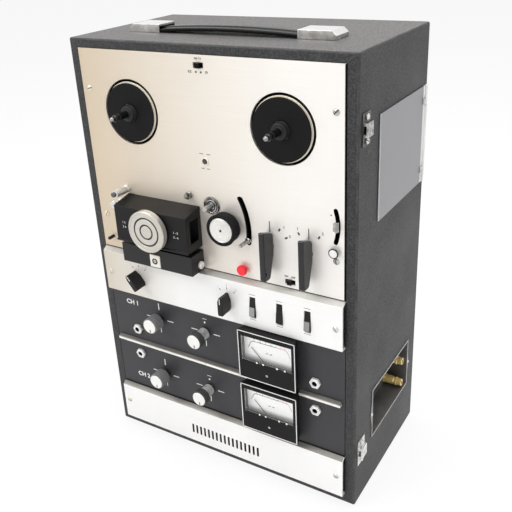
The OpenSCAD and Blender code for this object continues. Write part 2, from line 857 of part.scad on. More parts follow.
module deck_chassis() {
    color("slategray") place() difference() {
        union() {
            box([-panel_w + 2, chassis_y, deck_z + 2], [panel_w - 2, chassis_back, deck_top - 4]);
            for (s = [-1, 1]) {
                ycyl(s * reel_x, reel_z, table_back + clear, reel_bearing_back, reel_bearing_d);
                for (z = [deck_screw_hi, deck_screw_lo])
                    ycyl(s * deck_screw_x, z, seat_y, chassis_y + bite, screw_d + 2);
            }
            ycyl(capstan_x, capstan_z, -deck_proud - 2, seat_y + 3, flange_d);
            ycyl(capstan_x, capstan_z, seat_y + 2, chassis_back + 14, capstan_bearing_d);
            for (x = [play_x, wind_x]) ycyl(x, lever_z, seat_y + 2, chassis_y + bite, lever_shaft_d + 8);
            ycyl(start_x, start_z, seat_y + 6, chassis_y + bite, stem_d + 4);
            ycyl(record_x, record_z, seat_y + 6, chassis_y + bite, stem_d + 4);
            ycyl(pinch_x, pinch_z, seat_y + 2, chassis_y + bite, pivot_d);
            ycyl(shut_x, shut_z, shut_y - 2, chassis_y + bite, pivot_d);
            ycyl(pause_x, pause_z, seat_y + 2, chassis_y + bite, pause_post_d);
        }
        for (s = [-1, 1]) {
            ycyl(s * reel_x, reel_z, 0, reel_bearing_back + 1, reel_shaft_d + 2 * run);
            for (z = [deck_screw_hi, deck_screw_lo]) ycyl(s * deck_screw_x, z, 0, seat_y + 6, screw_d - 3);
        }
        ycyl(capstan_x, capstan_z, -10, chassis_back + 20, capstan_d + 2 * run);
        for (x = [play_x, wind_x]) ycyl(x, lever_z, 0, chassis_back + 1, lever_shaft_d + 2 * run);
        ycyl(start_x, start_z, 0, chassis_y - 0.5, stem_d + 2 * run);
        ycyl(record_x, record_z, 0, chassis_y - 0.5, stem_d + 2 * run);
    }
}

module drive_motor() {
    color("darkslategray") place() difference() {
        union() {
            ycyl(motor_x, motor_z, motor_y, motor_y + motor_len, motor_d);
            for (a = [90, 180, 270]) {
                x = motor_x + (motor_d / 2 - 6) * cos(belt_dir + 180 + a);
                z = motor_z + (motor_d / 2 - 6) * sin(belt_dir + 180 + a);
                ycyl(x, z, chassis_back, motor_y + bite, 8);
            }
        }
        ycyl(motor_x, motor_z, motor_y - 1, motor_y + 10, motor_shaft_d + 2 * run);
    }
}

// A solid around flywheel and pulley, grown by g, from depth y0 to y1
module belt_solid(g, y0, y1) {
    r1 = flywheel_d / 2 + g;
    r2 = pulley_d / 2 + g;
    half = acos((r1 - r2) / belt_len);
    e1 = [cos(half), sin(half)] * (r1 - ease);
    e2 = [belt_len, 0] + [cos(half), sin(half)] * (r2 - ease);
    ycyl(capstan_x, capstan_z, y0, y1, 2 * r1);
    ycyl(motor_x, motor_z, y0, y1, 2 * r2);
    yprism(y0, y1) translate([capstan_x, capstan_z]) rotate(belt_dir)
        polygon([e1, e2, [e2[0], -e2[1]], [e1[0], -e1[1]]]);
}

module drive_belt() {
    y0 = drive_y + (flywheel_t - belt_w) / 2;
    color("black") place() difference() {
        belt_solid(clear + belt_t, y0, y0 + belt_w);
        belt_solid(clear, y0 - 1, y0 + belt_w + 1);
    }
}

module capstan_flywheel() {
    color("silver") place() {
        ycyl(capstan_x, capstan_z, -capstan_front, drive_y + flywheel_t, capstan_d);
        ycyl(capstan_x, capstan_z, drive_y, drive_y + flywheel_t, flywheel_d);
    }
}

module motor_pulley() {
    color("goldenrod") place() {
        ycyl(motor_x, motor_z, drive_y, motor_y + 8, motor_shaft_d);
        ycyl(motor_x, motor_z, drive_y, drive_y + flywheel_t, pulley_d);
    }
}

module pinch_arm() {
    color("lightsteelblue") place() difference() {
        union() {
            yprism(seat_y + 5, seat_y + 8) link([pinch_x, pinch_z], [roller_x, roller_z], 12);
            ycyl(pinch_x, pinch_z, seat_y + 3, seat_y + 10, pivot_d + hub_wall);
            ycyl(roller_x, roller_z, pinch_back + clear, seat_y + 6, shoulder_d);
            ycyl(roller_x, roller_z, -roller_front + 2.3, seat_y + 6, roller_pin_d);
        }
        ycyl(pinch_x, pinch_z, seat_y, seat_y + 20, pivot_d + 2 * run);
    }
}

module pinch_roller() {
    color("dimgray") place() difference() {
        ycyl(roller_x, roller_z, -roller_front, pinch_back, roller_d);
        ycyl(roller_x, roller_z, -roller_front + 2, pinch_back + 1, roller_pin_d + 2 * run);
    }
}

module shut_off_arm() {
    elbow = [shut_elbow_r * cos(shut_low - shut_bend), shut_elbow_r * sin(shut_low - shut_bend)];
    tip = [slot_r * cos(shut_low), slot_r * sin(shut_low)];
    color("lightgray") place() difference() {
        union() {
            yprism(shut_y, shut_y + 3) translate([shut_x, shut_z]) {
                link([0, 0], elbow, arm_w);
                link(elbow, tip, arm_w);
            }
            ycyl(shut_x, shut_z, shut_y - 1, shut_y + 4, pivot_d + hub_wall);
            ycyl(shut_x + tip[0], shut_z + tip[1], -shut_post_front, shut_y + 1, shut_post_d);
        }
        ycyl(shut_x, shut_z, shut_y - 5, shut_y + 10, pivot_d + 2 * run);
    }
}

// A finger lever around its pivot, with its shaft and the collar behind the chassis
module finger_lever() {
    intersection() {
        xprism(-lever_w, lever_w) polygon([[lever_back, -8], [-lever_front + tail_t, -lever_tail],
            [-lever_front + 1.5, -lever_tail], [-lever_front, -lever_tail + 3], [-lever_front, lever_top - 2],
            [-lever_front + 1.5, lever_top], [lever_back, lever_top - lever_rake]]);
        translate([0, 0, -lever_tail - 1]) linear_extrude(lever_top + lever_tail + 2)
            polygon([[-lever_w / 2, lever_back], [-lever_ridge / 2, -lever_front],
                [lever_ridge / 2, -lever_front], [lever_w / 2, lever_back]]);
    }
    ycyl(0, 0, lever_back - 3, chassis_back + 4, lever_shaft_d);
    ycyl(0, 0, chassis_back + clear, chassis_back + 4, lever_shaft_d + 6);
}

module play_lever() {
    color("black") place() translate([play_x, 0, lever_z]) finger_lever();
}

module wind_lever() {
    color("black") place() translate([wind_x, 0, lever_z]) finger_lever();
}

module pause_lever() {
    color("lightgray") place() translate([pause_x, 0, pause_z]) difference() {
        union() {
            yprism(seat_y + 3, seat_y + 5.5) link([0, 0], [pause_r, 0], arm_w);
            ycyl(0, 0, seat_y + 3, chassis_y - 12, pause_post_d + hub_wall);
            slab(pause_r, 0, pause_tab_t, pause_tab_h, -pause_tab_front, seat_y + 4);
        }
        ycyl(0, 0, 0, chassis_y, pause_post_d + 2 * run);
    }
}

// A push button: a cap in front of the deck plate and a stem in its guide
module push_button(x, z, d, cap_t) {
    ycyl(x, z, cap_back - cap_t, cap_back, d);
    ycyl(x, z, cap_back - bite, seat_y + 12, stem_d);
}

module start_button() {
    color("silver") place() push_button(start_x, start_z, start_d, 2);
}

module record_button() {
    color("red") place() push_button(record_x, record_z, record_d, 4);
}

// A slide switch's moving tab with its plate behind the deck plate
module slide_tab(x, z) {
    tab_h = slide_h - 2 * clear;
    slab(x, z, tab_w, tab_h, -deck_proud - 3, seat_y + 1);
    slab(x, z, tab_w + 4, tab_h, seat_y + clear, seat_y + 2);
}

module speed_slider() {
    color("black") place() slide_tab(0, speed_z);
}

module shut_off_slider() {
    color("black") place() slide_tab(auto_x, auto_z);
}

// A slide switch's fixed body behind the deck plate
module slide_body(x, z) {
    difference() {
        slab(x, z, slide_w + 8, slide_h + 4, seat_y, seat_y + 9);
        slab(x, z, slide_w + 4, slide_h, seat_y - 1, seat_y + 2 + clear);
    }
}

// A rocker switch's fixed body behind the control strip, with bearings for the rocker's pins
module rocker_body(x) {
    y = -strip_proud + sheet_t;
    difference() {
        slab(x, strip_mid, rocker_w + 4, rocker_h + 4, y, y + 14);
        slab(x, strip_mid, rocker_w, rocker_h, y - 1, y + 12);
        xcyl(x - rocker_w, x + rocker_w, rocker_y, strip_mid, rocker_pin_d + 2 * run);
    }
}

// A control that holds a knob's shaft: a round body behind its panel
module shaft_body(x, z, y, d, t) {
    difference() {
        ycyl(x, z, y, y + t, d);
        ycyl(x, z, y - 1, y + t - 2, control_shaft_d + 2 * run);
    }
}

// A potentiometer with the bush that passes through the amplifier panel
module pot(x, z) {
    difference() {
        union() {
            ycyl(x, z, seat_y, seat_y + pot_t, pot_d);
            ycyl(x, z, -1.5, seat_y + bite, bush_d);
        }
        ycyl(x, z, -5, seat_y + pot_t - 2, control_shaft_d + 2 * run);
    }
}

module switch_bodies() {
    color("darkolivegreen") place() {
        slide_body(0, speed_z);
        slide_body(auto_x, auto_z);
        for (k = [0:2]) rocker_body(rocker_x + k * rocker_pitch);
        for (x = [source_x, mode_x]) shaft_body(x, strip_mid, -strip_proud + sheet_t, pot_d, pot_t + 4);
        for (x = [mic_x, line_x], z = [knob_lo, knob_hi]) pot(x, z);
    }
}

module pilot_lamp() {
    color("orange") place() {
        ycyl(0, lamp_z, -deck_proud - 1.5, -deck_proud, lamp_d);
        ycyl(0, lamp_z, -deck_proud - bite, seat_y + 8, lamp_d - 2 - 2 * clear);
    }
}

module head_base() {
    color("black") place() {
        difference() {
            box([block_x, -block_front, block_z], [head_end, -deck_proud, block_z + block_h]);
            box([block_x + head_wall, -block_front + head_wall, block_z + head_wall],
                [head_end - head_wall, -deck_proud + 1, block_z + block_h - head_wall]);
        }
        box([head_x + 6, head_plate_y, block_z + block_h - 2], [head_end - 6, -deck_proud, head_top - 8]);
        slab(head_mid - 1, block_z + block_h / 2 - 2.75, 14, 15, -block_front - 1, -block_front + bite);
    }
}

module tape_heads() {
    color("silver") place() for (k = [-1, 0, 1]) {
        x = head_mid + k * tape_head_pitch;
        box([x - tape_head_w / 2, head_plate_y - tape_head_t, tape_head_z],
            [x + tape_head_w / 2, head_plate_y, tape_head_z + tape_head_h]);
    }
}

// A tape guide: a post with a tip of another diameter
module guide(x, z, front, d, tip_d) {
    ycyl(x, z, -front + guide_tip, -deck_proud, d);
    ycyl(x, z, -front, -front + guide_tip + bite, tip_d);
}

module tape_guides() {
    color("lightgray") place() {
        guide(head_x - 1.6, head_top + 5.3, guide_front, 8.5, 6);
        guide(head_x - 13, head_top - 12, 16, 5, 9);
        guide(head_end - 12.7, head_top + 11, 9, 8, 4.5);
        ycyl(head_x - 33, block_z + 15, -10, -deck_proud, 4);
    }
}

module head_cover() {
    color("black") place() difference() {
        back = -deck_proud - clear;
        front_top = head_top - head_slope;
        union() {
            xprism(head_x, head_end) polygon([[back, head_z], [back, head_top], [-head_front, front_top],
                [-head_front, head_z]]);
            box([head_x, -head_front - 1.5, head_z], [head_end, -head_front + bite, head_z + 2.5]);
        }
        xprism(head_x + head_wall, head_end - head_wall) polygon([[back + 1, head_z + head_wall],
            [back + 1, head_top - head_wall], [-head_front + head_wall, front_top - head_wall],
            [-head_front + head_wall, head_z + head_wall]]);
        box([head_x + 5, head_plate_y - clear, head_z - 1], [head_end - 5, 0, head_z + head_wall + 1]);
        box([head_x - 1, -head_front + 7, tape_head_z], [head_end + 1, -7, tape_head_z + 26]);
    }
}

module head_badge() {
    color("silver") place() {
        ycyl(head_mid, badge_z, -head_front - badge_t, -head_front - 1.5, badge_d);
        ycyl(head_mid, badge_z, -head_front - 2, -head_front, badge_d - 14);
    }
}

// A folded panel with a bevelled top edge, open at the back
module folded_panel(z, top, proud) {
    xprism(-panel_w, panel_w) difference() {
        polygon([[seat_y, z], [-proud, z], [-proud, top - bevel_h], [-deck_proud, top], [seat_y, top]]);
        polygon([[seat_y + 1, z + sheet_t], [-proud + sheet_t, z + sheet_t],
            [-proud + sheet_t, top - bevel_h - sheet_t / 2], [-deck_proud + sheet_t / 2, top - sheet_t],
            [seat_y + 1, top - sheet_t]]);
    }
}

module control_strip() {
    color("gainsboro") place() difference() {
        folded_panel(strip_z, strip_top, strip_proud);
        front = -strip_proud - 1;
        back = -strip_proud + sheet_t + 1;
        for (x = [source_x, mode_x]) ycyl(x, strip_mid, front, back, control_shaft_d + 2 * clear);
        for (k = [0:2]) slab(rocker_x + k * rocker_pitch, strip_mid, rocker_w, rocker_h, front, back);
        for (s = [-1, 1]) ycyl(s * strip_screw_x, strip_mid, front, back, screw_d - 3);
    }
}

// A bar knob around its axis, pointing up, with its shaft
module bar_knob() {
    front = -strip_proud - clear - bar_knob_h;
    back = -strip_proud - clear;
    half = bar_knob_len / 2;
    intersection() {
        yprism(front, back) polygon([[-bar_knob_w / 2, -half + 4], [-bar_knob_w / 2 + 2, -half],
            [bar_knob_w / 2 - 2, -half], [bar_knob_w / 2, -half + 4], [bar_knob_w / 2, half - 8],
            [1.5, half], [-1.5, half], [-bar_knob_w / 2, half - 8]]);
        translate([0, 0, -half - 1]) linear_extrude(bar_knob_len + 2) polygon([[-bar_knob_w / 2, back],
            [-bar_knob_w / 2 + 1.2, front], [bar_knob_w / 2 - 1.2, front], [bar_knob_w / 2, back]]);
    }
    ycyl(0, 0, back - 3, -strip_proud + sheet_t + pot_t, control_shaft_d);
}

module source_knob() {
    color("black") place() translate([source_x, 0, strip_mid]) rotate([0, -source_turn, 0]) bar_knob();
}

module mode_knob() {
    color("black") place() translate([mode_x, 0, strip_mid]) bar_knob();
}

// A rocker around its pins, stored with its lower half out
module rocker(x) {
    half = rocker_h / 2 - 1.2;
    w = rocker_w / 2 - clear;
    color("black") place() translate([x, rocker_y, strip_mid]) rotate([-rocker_tilt, 0, 0]) {
        xprism(-w, w) polygon([[3, -half + 2], [-3, -half], [-5, -half + 1], [-6, 0], [-5, half - 1],
            [-3, half], [3, half - 2]]);
        xcyl(-w - 1.8, w + 1.8, 0, 0, rocker_pin_d);
    }
}

module rocker_left() {
    rocker(rocker_x);
}

module rocker_middle() {
    rocker(rocker_x + rocker_pitch);
}

module rocker_right() {
    rocker(rocker_x + 2 * rocker_pitch);
}

module amp_panel() {
    color("darkslategray") place() difference() {
        box([-panel_w, 0, amp_z], [panel_w, seat_y, amp_top]);
        for (x = [mic_x, line_x], z = [knob_lo, knob_hi]) ycyl(x, z, -1, seat_y + 1, bush_d + 2 * clear);
        for (s = [-1, 1], z = [jack_lo, jack_hi]) ycyl(s * jack_x, z, -1, seat_y + 1, barrel_d + 2 * clear);
        for (z = [meter_lo, meter_hi]) ycyl(meter_x, z, -1, seat_y + 1, can_d + 2 * clear);
    }
}

module divider_bar() {
    color("lightgoldenrodyellow") place() {
        end = panel_w - 3.5;
        z = amp_mid - bar_h / 2;
        for (span = [[-end, meter_x - meter_foot_w / 2 - clear], [meter_x + meter_foot_w / 2 + clear, end]])
            xprism(span[0], span[1])
                polygon([[0, z], [-bar_proud, z], [-bar_proud, z + bar_h - 1.5], [0, z + bar_h]]);
    }
}

module lower_panel() {
    color("gainsboro") place() difference() {
        folded_panel(low_z, low_top, low_proud);
        for (k = [0:vent_count - 1]) {
            x = (k - (vent_count - 1) / 2) * vent_pitch;
            slab(x, low_z + vent_up, vent_w, vent_h, -low_proud - 1, -low_proud + sheet_t + 1);
        }
        for (s = [-1, 1]) ycyl(s * strip_screw_x, low_screw_z, -low_proud - 1, 0, screw_d - 3);
    }
}

// A level knob around its axis: the grip, a narrower neck and the shaft into the potentiometer
module level_knob(x, z, front) {
    color("dimgray") place() {
        ycyl(x, z, -front, -front + grip_h, knob_d);
        ycyl(x, z, -front + grip_h - bite, -1.5 - clear, 12);
        ycyl(x, z, -front + grip_h - bite, seat_y + pot_t - 3, control_shaft_d);
    }
}

module mic_knob_upper() {
    level_knob(mic_x, knob_hi, mic_front);
}

module mic_knob_lower() {
    level_knob(mic_x, knob_lo, mic_front);
}

module line_knob_upper() {
    level_knob(line_x, knob_hi, line_front);
}

module line_knob_lower() {
    level_knob(line_x, knob_lo, line_front);
}

module phone_jacks() {
    color("silver") place() for (s = [-1, 1], z = [jack_lo, jack_hi]) difference() {
        union() {
            translate([s * jack_x, -3, z]) rotate([-90, 0, 0]) cylinder(d = nut_af / cos(30), h = 3, $fn = 6);
            ycyl(s * jack_x, z, -3, seat_y + bite, barrel_d);
            ycyl(s * jack_x, z, seat_y, seat_y + jack_len, barrel_d + 5);
        }
        ycyl(s * jack_x, z, -4, seat_y + jack_len - 2, jack_bore);
    }
}

// A meter's housing around its middle: the tapered front with its dial chamber, and the movement behind
module meter_housing() {
    difference() {
        union() {
            translate([0, 0, -meter_h / 2]) linear_extrude(meter_h) polygon([[-meter_foot_w / 2, 0],
                [-meter_w / 2, -meter_front], [meter_w / 2, -meter_front], [meter_foot_w / 2, 0]]);
            ycyl(0, 0, -1, seat_y + 28, can_d);
        }
        box([-window_w / 2, -meter_front - 1, window_z], [window_w / 2, dial_y, window_top]);
        box([-window_w / 2 - 1, -meter_front + 2.5, -needle_drop - 7],
            [window_w / 2 + 1, dial_y, window_top + 1]);
        ycyl(0, -needle_drop, dial_y - 1, dial_y + 5, needle_pin_d + 2 * run);
    }
}

module meter_housings() {
    color("black") place() for (z = [meter_lo, meter_hi]) translate([meter_x, 0, z]) meter_housing();
}

module meter_windows() {
    color("lightcyan") place() for (z = [meter_lo, meter_hi]) translate([meter_x, 0, z])
        box([-window_w / 2 + 0.2, -meter_front + 0.4, window_z + 0.2],
            [window_w / 2 - 0.2, -meter_front + 2.2, window_top - 0.2]);
}

// A meter's needle on its pivot, stored at the left end of the scale
module needle(z) {
    color("red") place() translate([meter_x, 0, z - needle_drop]) rotate([0, -needle_rest, 0]) {
        ycyl(0, 0, dial_y - 4.5, dial_y + 4.5, needle_pin_d);
        ycyl(0, 0, dial_y - 4.5, dial_y - 2, 6);
        box([-0.4, dial_y - 3.6, 0], [0.4, dial_y - 2.8, needle_len]);
    }
}

module needle_upper() {
    needle(meter_hi);
}

module needle_lower() {
    needle(meter_lo);
}

module amplifier_unit() {
    color("seagreen") place() {
        seat = floor_wall + unit_t - bite;
        box([unit_x, unit_y, floor_wall], [unit_x + unit_w, unit_y + unit_d, floor_wall + unit_t]);
        box([unit_x + 6, board_y, seat], [unit_x + unit_w - 6, board_y + board_t, floor_wall + board_h]);
        for (k = [0:3])
            translate([unit_x + cell_x + cell_pitch * k, board_y - cell_back, seat])
                cylinder(d = cell_d, h = cell_h);
        for (k = [0:8]) {
            x = unit_x + fin_x + fin_pitch * k;
            y = board_y + fin_y;
            box([x, y, seat], [x + fin_t, y + fin_d, floor_wall + fin_h]);
        }
    }
}

module power_transformer() {
    color("peru") place() {
        translate([mains_x, mains_y, floor_wall]) {
            box([-mains_foot_w / 2, -mains_foot_d / 2, 0],
                [mains_foot_w / 2, mains_foot_d / 2, mains_foot_t]);
            box([-mains_w / 2, -mains_d / 2, mains_foot_t - bite], [mains_w / 2, mains_d / 2, mains_h]);
            box([-winding_w / 2, -winding_d / 2, winding_z],
                [winding_w / 2, winding_d / 2, winding_z + winding_h]);
        }
    }
}

module mains_inlet() {
    color("black") place() difference() {
        union() {
            slab(inlet_x, inlet_z, inlet_w, inlet_h, rear_y - 16, rear_y + rear_t + bite);
            slab(inlet_x, inlet_z, inlet_w + 8, inlet_h + 8, rear_y + rear_t, rear_y + rear_t + 2);
        }
        difference() {
            slab(inlet_x, inlet_z, inlet_w - 8, inlet_h - 6, rear_y - 8, cab_d + 1);
            for (s = [-1, 1]) ycyl(inlet_x + s * 6, inlet_z, rear_y - 9, rear_y + rear_t, 2.4);
        }
    }
}

// A turntable on its shaft, with hub, grooved spindle and the brake drum behind the bearing
module turntable(x) {
    color("beige") place() translate([x, 0, reel_z]) difference() {
        union() {
            ycyl(0, 0, -table_front, table_back, table_d);
            ycyl(0, 0, -table_front - hub_h, 0, hub_d);
            ycyl(0, 0, -spindle_front, 0, spindle_d);
            ycyl(0, 0, 0, reel_bearing_back + brake_t, reel_shaft_d);
            ycyl(0, 0, reel_bearing_back + clear, reel_bearing_back + brake_t, brake_d);
        }
        difference() {
            ycyl(0, 0, -table_front - 1, mat_y, table_d - 2 * mat_rim);
            ycyl(0, 0, -table_front - 2, mat_y + 1, hub_d);
        }
        for (a = [0, 120, 240]) rotate([0, a, 0]) translate([spindle_d / 2 - groove_depth, 0, -groove_w / 2])
            box([0, -spindle_front - 1, 0], [2, -table_front - hub_h, groove_w]);
    }
}

// The mat that lies in a turntable's recess, around its hub
module mat(x) {
    color("black") place() difference() {
        ycyl(x, reel_z, mat_y - mat_t, mat_y, table_d - 2 * mat_rim - 0.4);
        ycyl(x, reel_z, mat_y - mat_t - 1, mat_y + 1, hub_d + 0.4);
    }
}

module supply_turntable() {
    turntable(-reel_x);
}

module supply_mat() {
    mat(-reel_x);
}

module takeup_turntable() {
    turntable(reel_x);
}

module takeup_mat() {
    mat(reel_x);
}

cabinet_shell();
rear_panel();
rubber_feet();
handle_caps();
handle_strap();
side_fittings();
speakers();
jack_bay();
rca_jacks();
deck_plate();
panel_screws();
deck_chassis();
drive_motor();
drive_belt();
head_base();
tape_heads();
tape_guides();
pilot_lamp();
control_strip();
switch_bodies();
amp_panel();
divider_bar();
lower_panel();
phone_jacks();
meter_housings();
meter_windows();
amplifier_unit();
power_transformer();
mains_inlet();
supply_turntable();
supply_mat();
takeup_turntable();
takeup_mat();
capstan_flywheel();
motor_pulley();
pinch_arm();
pinch_roller();
shut_off_arm();
play_lever();
wind_lever();
pause_lever();
start_button();
record_button();
speed_slider();
shut_off_slider();
head_cover();
head_badge();
source_knob();
mode_knob();
rocker_left();
rocker_middle();
rocker_right();
mic_knob_upper();
mic_knob_lower();
line_knob_upper();
line_knob_lower();
needle_upper();
needle_lower();
flap_right();
flap_left();
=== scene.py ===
import math

import bmesh
import bpy
from bpy.props import FloatProperty, FloatVectorProperty, IntProperty, PointerProperty
from mathutils import Matrix, Vector


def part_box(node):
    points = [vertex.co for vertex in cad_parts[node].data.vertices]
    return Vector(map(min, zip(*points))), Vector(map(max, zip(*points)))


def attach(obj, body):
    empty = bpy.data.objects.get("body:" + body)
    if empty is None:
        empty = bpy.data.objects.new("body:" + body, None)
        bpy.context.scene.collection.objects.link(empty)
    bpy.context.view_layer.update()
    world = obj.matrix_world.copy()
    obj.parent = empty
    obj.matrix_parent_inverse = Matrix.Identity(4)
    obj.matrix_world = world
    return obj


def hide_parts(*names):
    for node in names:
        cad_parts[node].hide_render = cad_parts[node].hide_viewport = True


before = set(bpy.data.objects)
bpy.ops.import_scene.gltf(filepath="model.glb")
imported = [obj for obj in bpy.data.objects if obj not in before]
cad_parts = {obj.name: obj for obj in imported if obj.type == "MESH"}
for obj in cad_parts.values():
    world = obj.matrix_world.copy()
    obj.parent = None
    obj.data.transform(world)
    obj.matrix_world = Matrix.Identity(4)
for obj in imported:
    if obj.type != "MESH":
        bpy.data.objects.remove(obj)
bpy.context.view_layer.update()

bl_info = {
    "name": "Tape recorder dressing",
    "version": (1, 0, 0),
    "blender": (4, 5, 0),
    "location": "View3D > Sidebar > Recorder",
    "description": "Builds the visible pieces of an upright tape recorder on its packed frame",
    "category": "Object",
}

# Lengths in this file are millimetres from the cabinet's front edge and underside, as in the part's source
MM = 0.001
CABINET_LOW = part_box("cabinet_shell")[0]
TO_FRAME = Matrix.Translation((0, CABINET_LOW.y, CABINET_LOW.z)) @ Matrix.Scale(MM, 4)
TO_SHOP = TO_FRAME.inverted()

# Distance at which points are one, and the angle in degrees above which an edge is shown sharp
WELD = 1e-3
SHARP_FROM = 38

# How far a printed mark stands out of its face and reaches into it
INK_OUT, INK_IN = 0.1, 0.05

# Finger levers and bar knobs: their pivot below the top, and the bar knobs' stops in degrees
LEVER_PIVOT = 22
BAR_STOP = 37

# Where the scene leaves the solids: rise of the pause tab and of the bar knobs, drop of the meter windows' lower and
# upper edges, needle length, half width of the meter housings' undercut foot, longer ends of the divider bar
TAB_RISE = 4
BAR_RISE = 3
WINDOW_DROP = (1.5, 3)
NEEDLE_LENGTH = 32
METER_FOOT = 31.5
DIVIDER_GROWTH = 8

# Side speakers and phono sockets: the cabinet wall's inner face, the cone and the socket shells
SPEAKER_FACE, CONE_RADIUS = 160.5, 42.0
SHELL_RADIUS, BARREL_GROWTH = 4.15, 1.3
PLUG_AT = (0, 23, 421)

# Side fittings: hinges lie behind this depth, the lower latch keepers below this height are painted brighter, a
# painted highlight, and fittings up to this length are keepers with screws
HINGES_FROM, HIGHLIT_BELOW, KEEPER_LENGTH = 150, 150, 60

# Turntable hubs and spindles, the buttons' backs, and the meters' white outline, needle pivot and dial depth
HUB_RADIUS, SPINDLE_RADIUS = 9.5, 3.95
BUTTON_BACK = -4.3
OUTLINE_HALF = 36.7 - 0.9
PIVOT_DROP = 15
DIAL_DEPTH = 7.4

# Corner points of the dials' scale line, across and up from its flat middle, and their figures
SCALE_LEFT = ((-26.6, -9.4), (-24.2, -3.6), (-22.6, -1.2), (-20, -0.1), (9.4, 0))
SCALE_RIGHT = ((9.4, 0), (20, -0.2), (22.8, -1.4), (24.4, -3.6), (26.6, -9.4))
SCALE_FIGURES = ((-19, "20"), (-11, "10"), (-4, "5"), (3, "3"), (9.4, "0"), (15, "1"), (20, "3"))

# Where the tint of the pale plates starts, in metres from the middle, the tint being partly age and partly painted
# reflection and shade, and the painted shade of the dials' lower edge
AGE_AND_SHADE_FROM = -0.165
CARD_SHADE = (0.24, 0.228, 0.20)


def colour(title, note, value):
    """A colour property."""
    return FloatVectorProperty(name=title, description=note, subtype="COLOR", size=3, min=0, max=1, default=value)


def length(title, note, value):
    """A length property in metres."""
    return FloatProperty(name=title, description=note, subtype="DISTANCE", unit="LENGTH", min=0, default=value * MM)


class RecorderColours(bpy.types.PropertyGroup):
    """Colours of the recorder's finishes"""

    vinyl: colour("Vinyl", "Grained covering of the cabinet", (0.054, 0.054, 0.0565))
    deck: colour("Deck", "Brushed plate that carries the reels", (0.935, 0.905, 0.862))
    strip: colour("Panels", "Control strip and lower panel", (0.93, 0.925, 0.91))
    amplifier: colour("Amplifier", "Painted amplifier panel", (0.042, 0.041, 0.045))
    cover: colour("Head cover", "Satin black of the head cover", (0.006, 0.0058, 0.0060))
    lever: colour("Levers", "Glossy black of the finger levers", (0.006, 0.006, 0.0068))
    knob: colour("Knobs", "Fluted grips of the level knobs", (0.270, 0.270, 0.275))
    button: colour("Record button", "Red of the record button", (0.95, 0.010, 0.024))
    flap: colour("Flaps", "Painted flaps on the sides", (0.300, 0.295, 0.315))
    rim: colour("Reel rims", "Bare rims of the reel turntables", (0.78, 0.73, 0.60))
    gold: colour("Sockets", "Plated sockets in the side bay", (0.93, 0.69, 0.27))


class RecorderSizes(bpy.types.PropertyGroup):
    """Sizes that only change the looks"""

    corner: length("Cabinet corner", "Rounding of the covered cabinet edges", 2.2)
    lever_edge: length("Lever edge", "Rounding of the lever edges", 1.6)
    cover_edge: length("Cover edge", "Rounding of the head cover edges", 0.8)
    flutes: IntProperty(name="Flutes", description="Flutes around a level knob", min=12, max=60, default=36)


class RecorderStage(bpy.types.PropertyGroup):
    """Light and floor"""

    floor: colour("Floor", "Colour of the studio floor", (0.95, 0.95, 0.95))
    key: FloatProperty(name="Key light", description="Power of the soft key", subtype="POWER", unit="POWER", default=32)
    fill: FloatProperty(name="Sky", description="Strength of the light all around", min=0, max=2, default=0.54)


def finish(tint, metal, rough, tone, speck, **extra):
    """A row of the table of finishes; the tint is a colour or the name of a colour property."""
    return dict(extra, tint=tint, metal=metal, rough=rough, tone=tone, speck=speck)


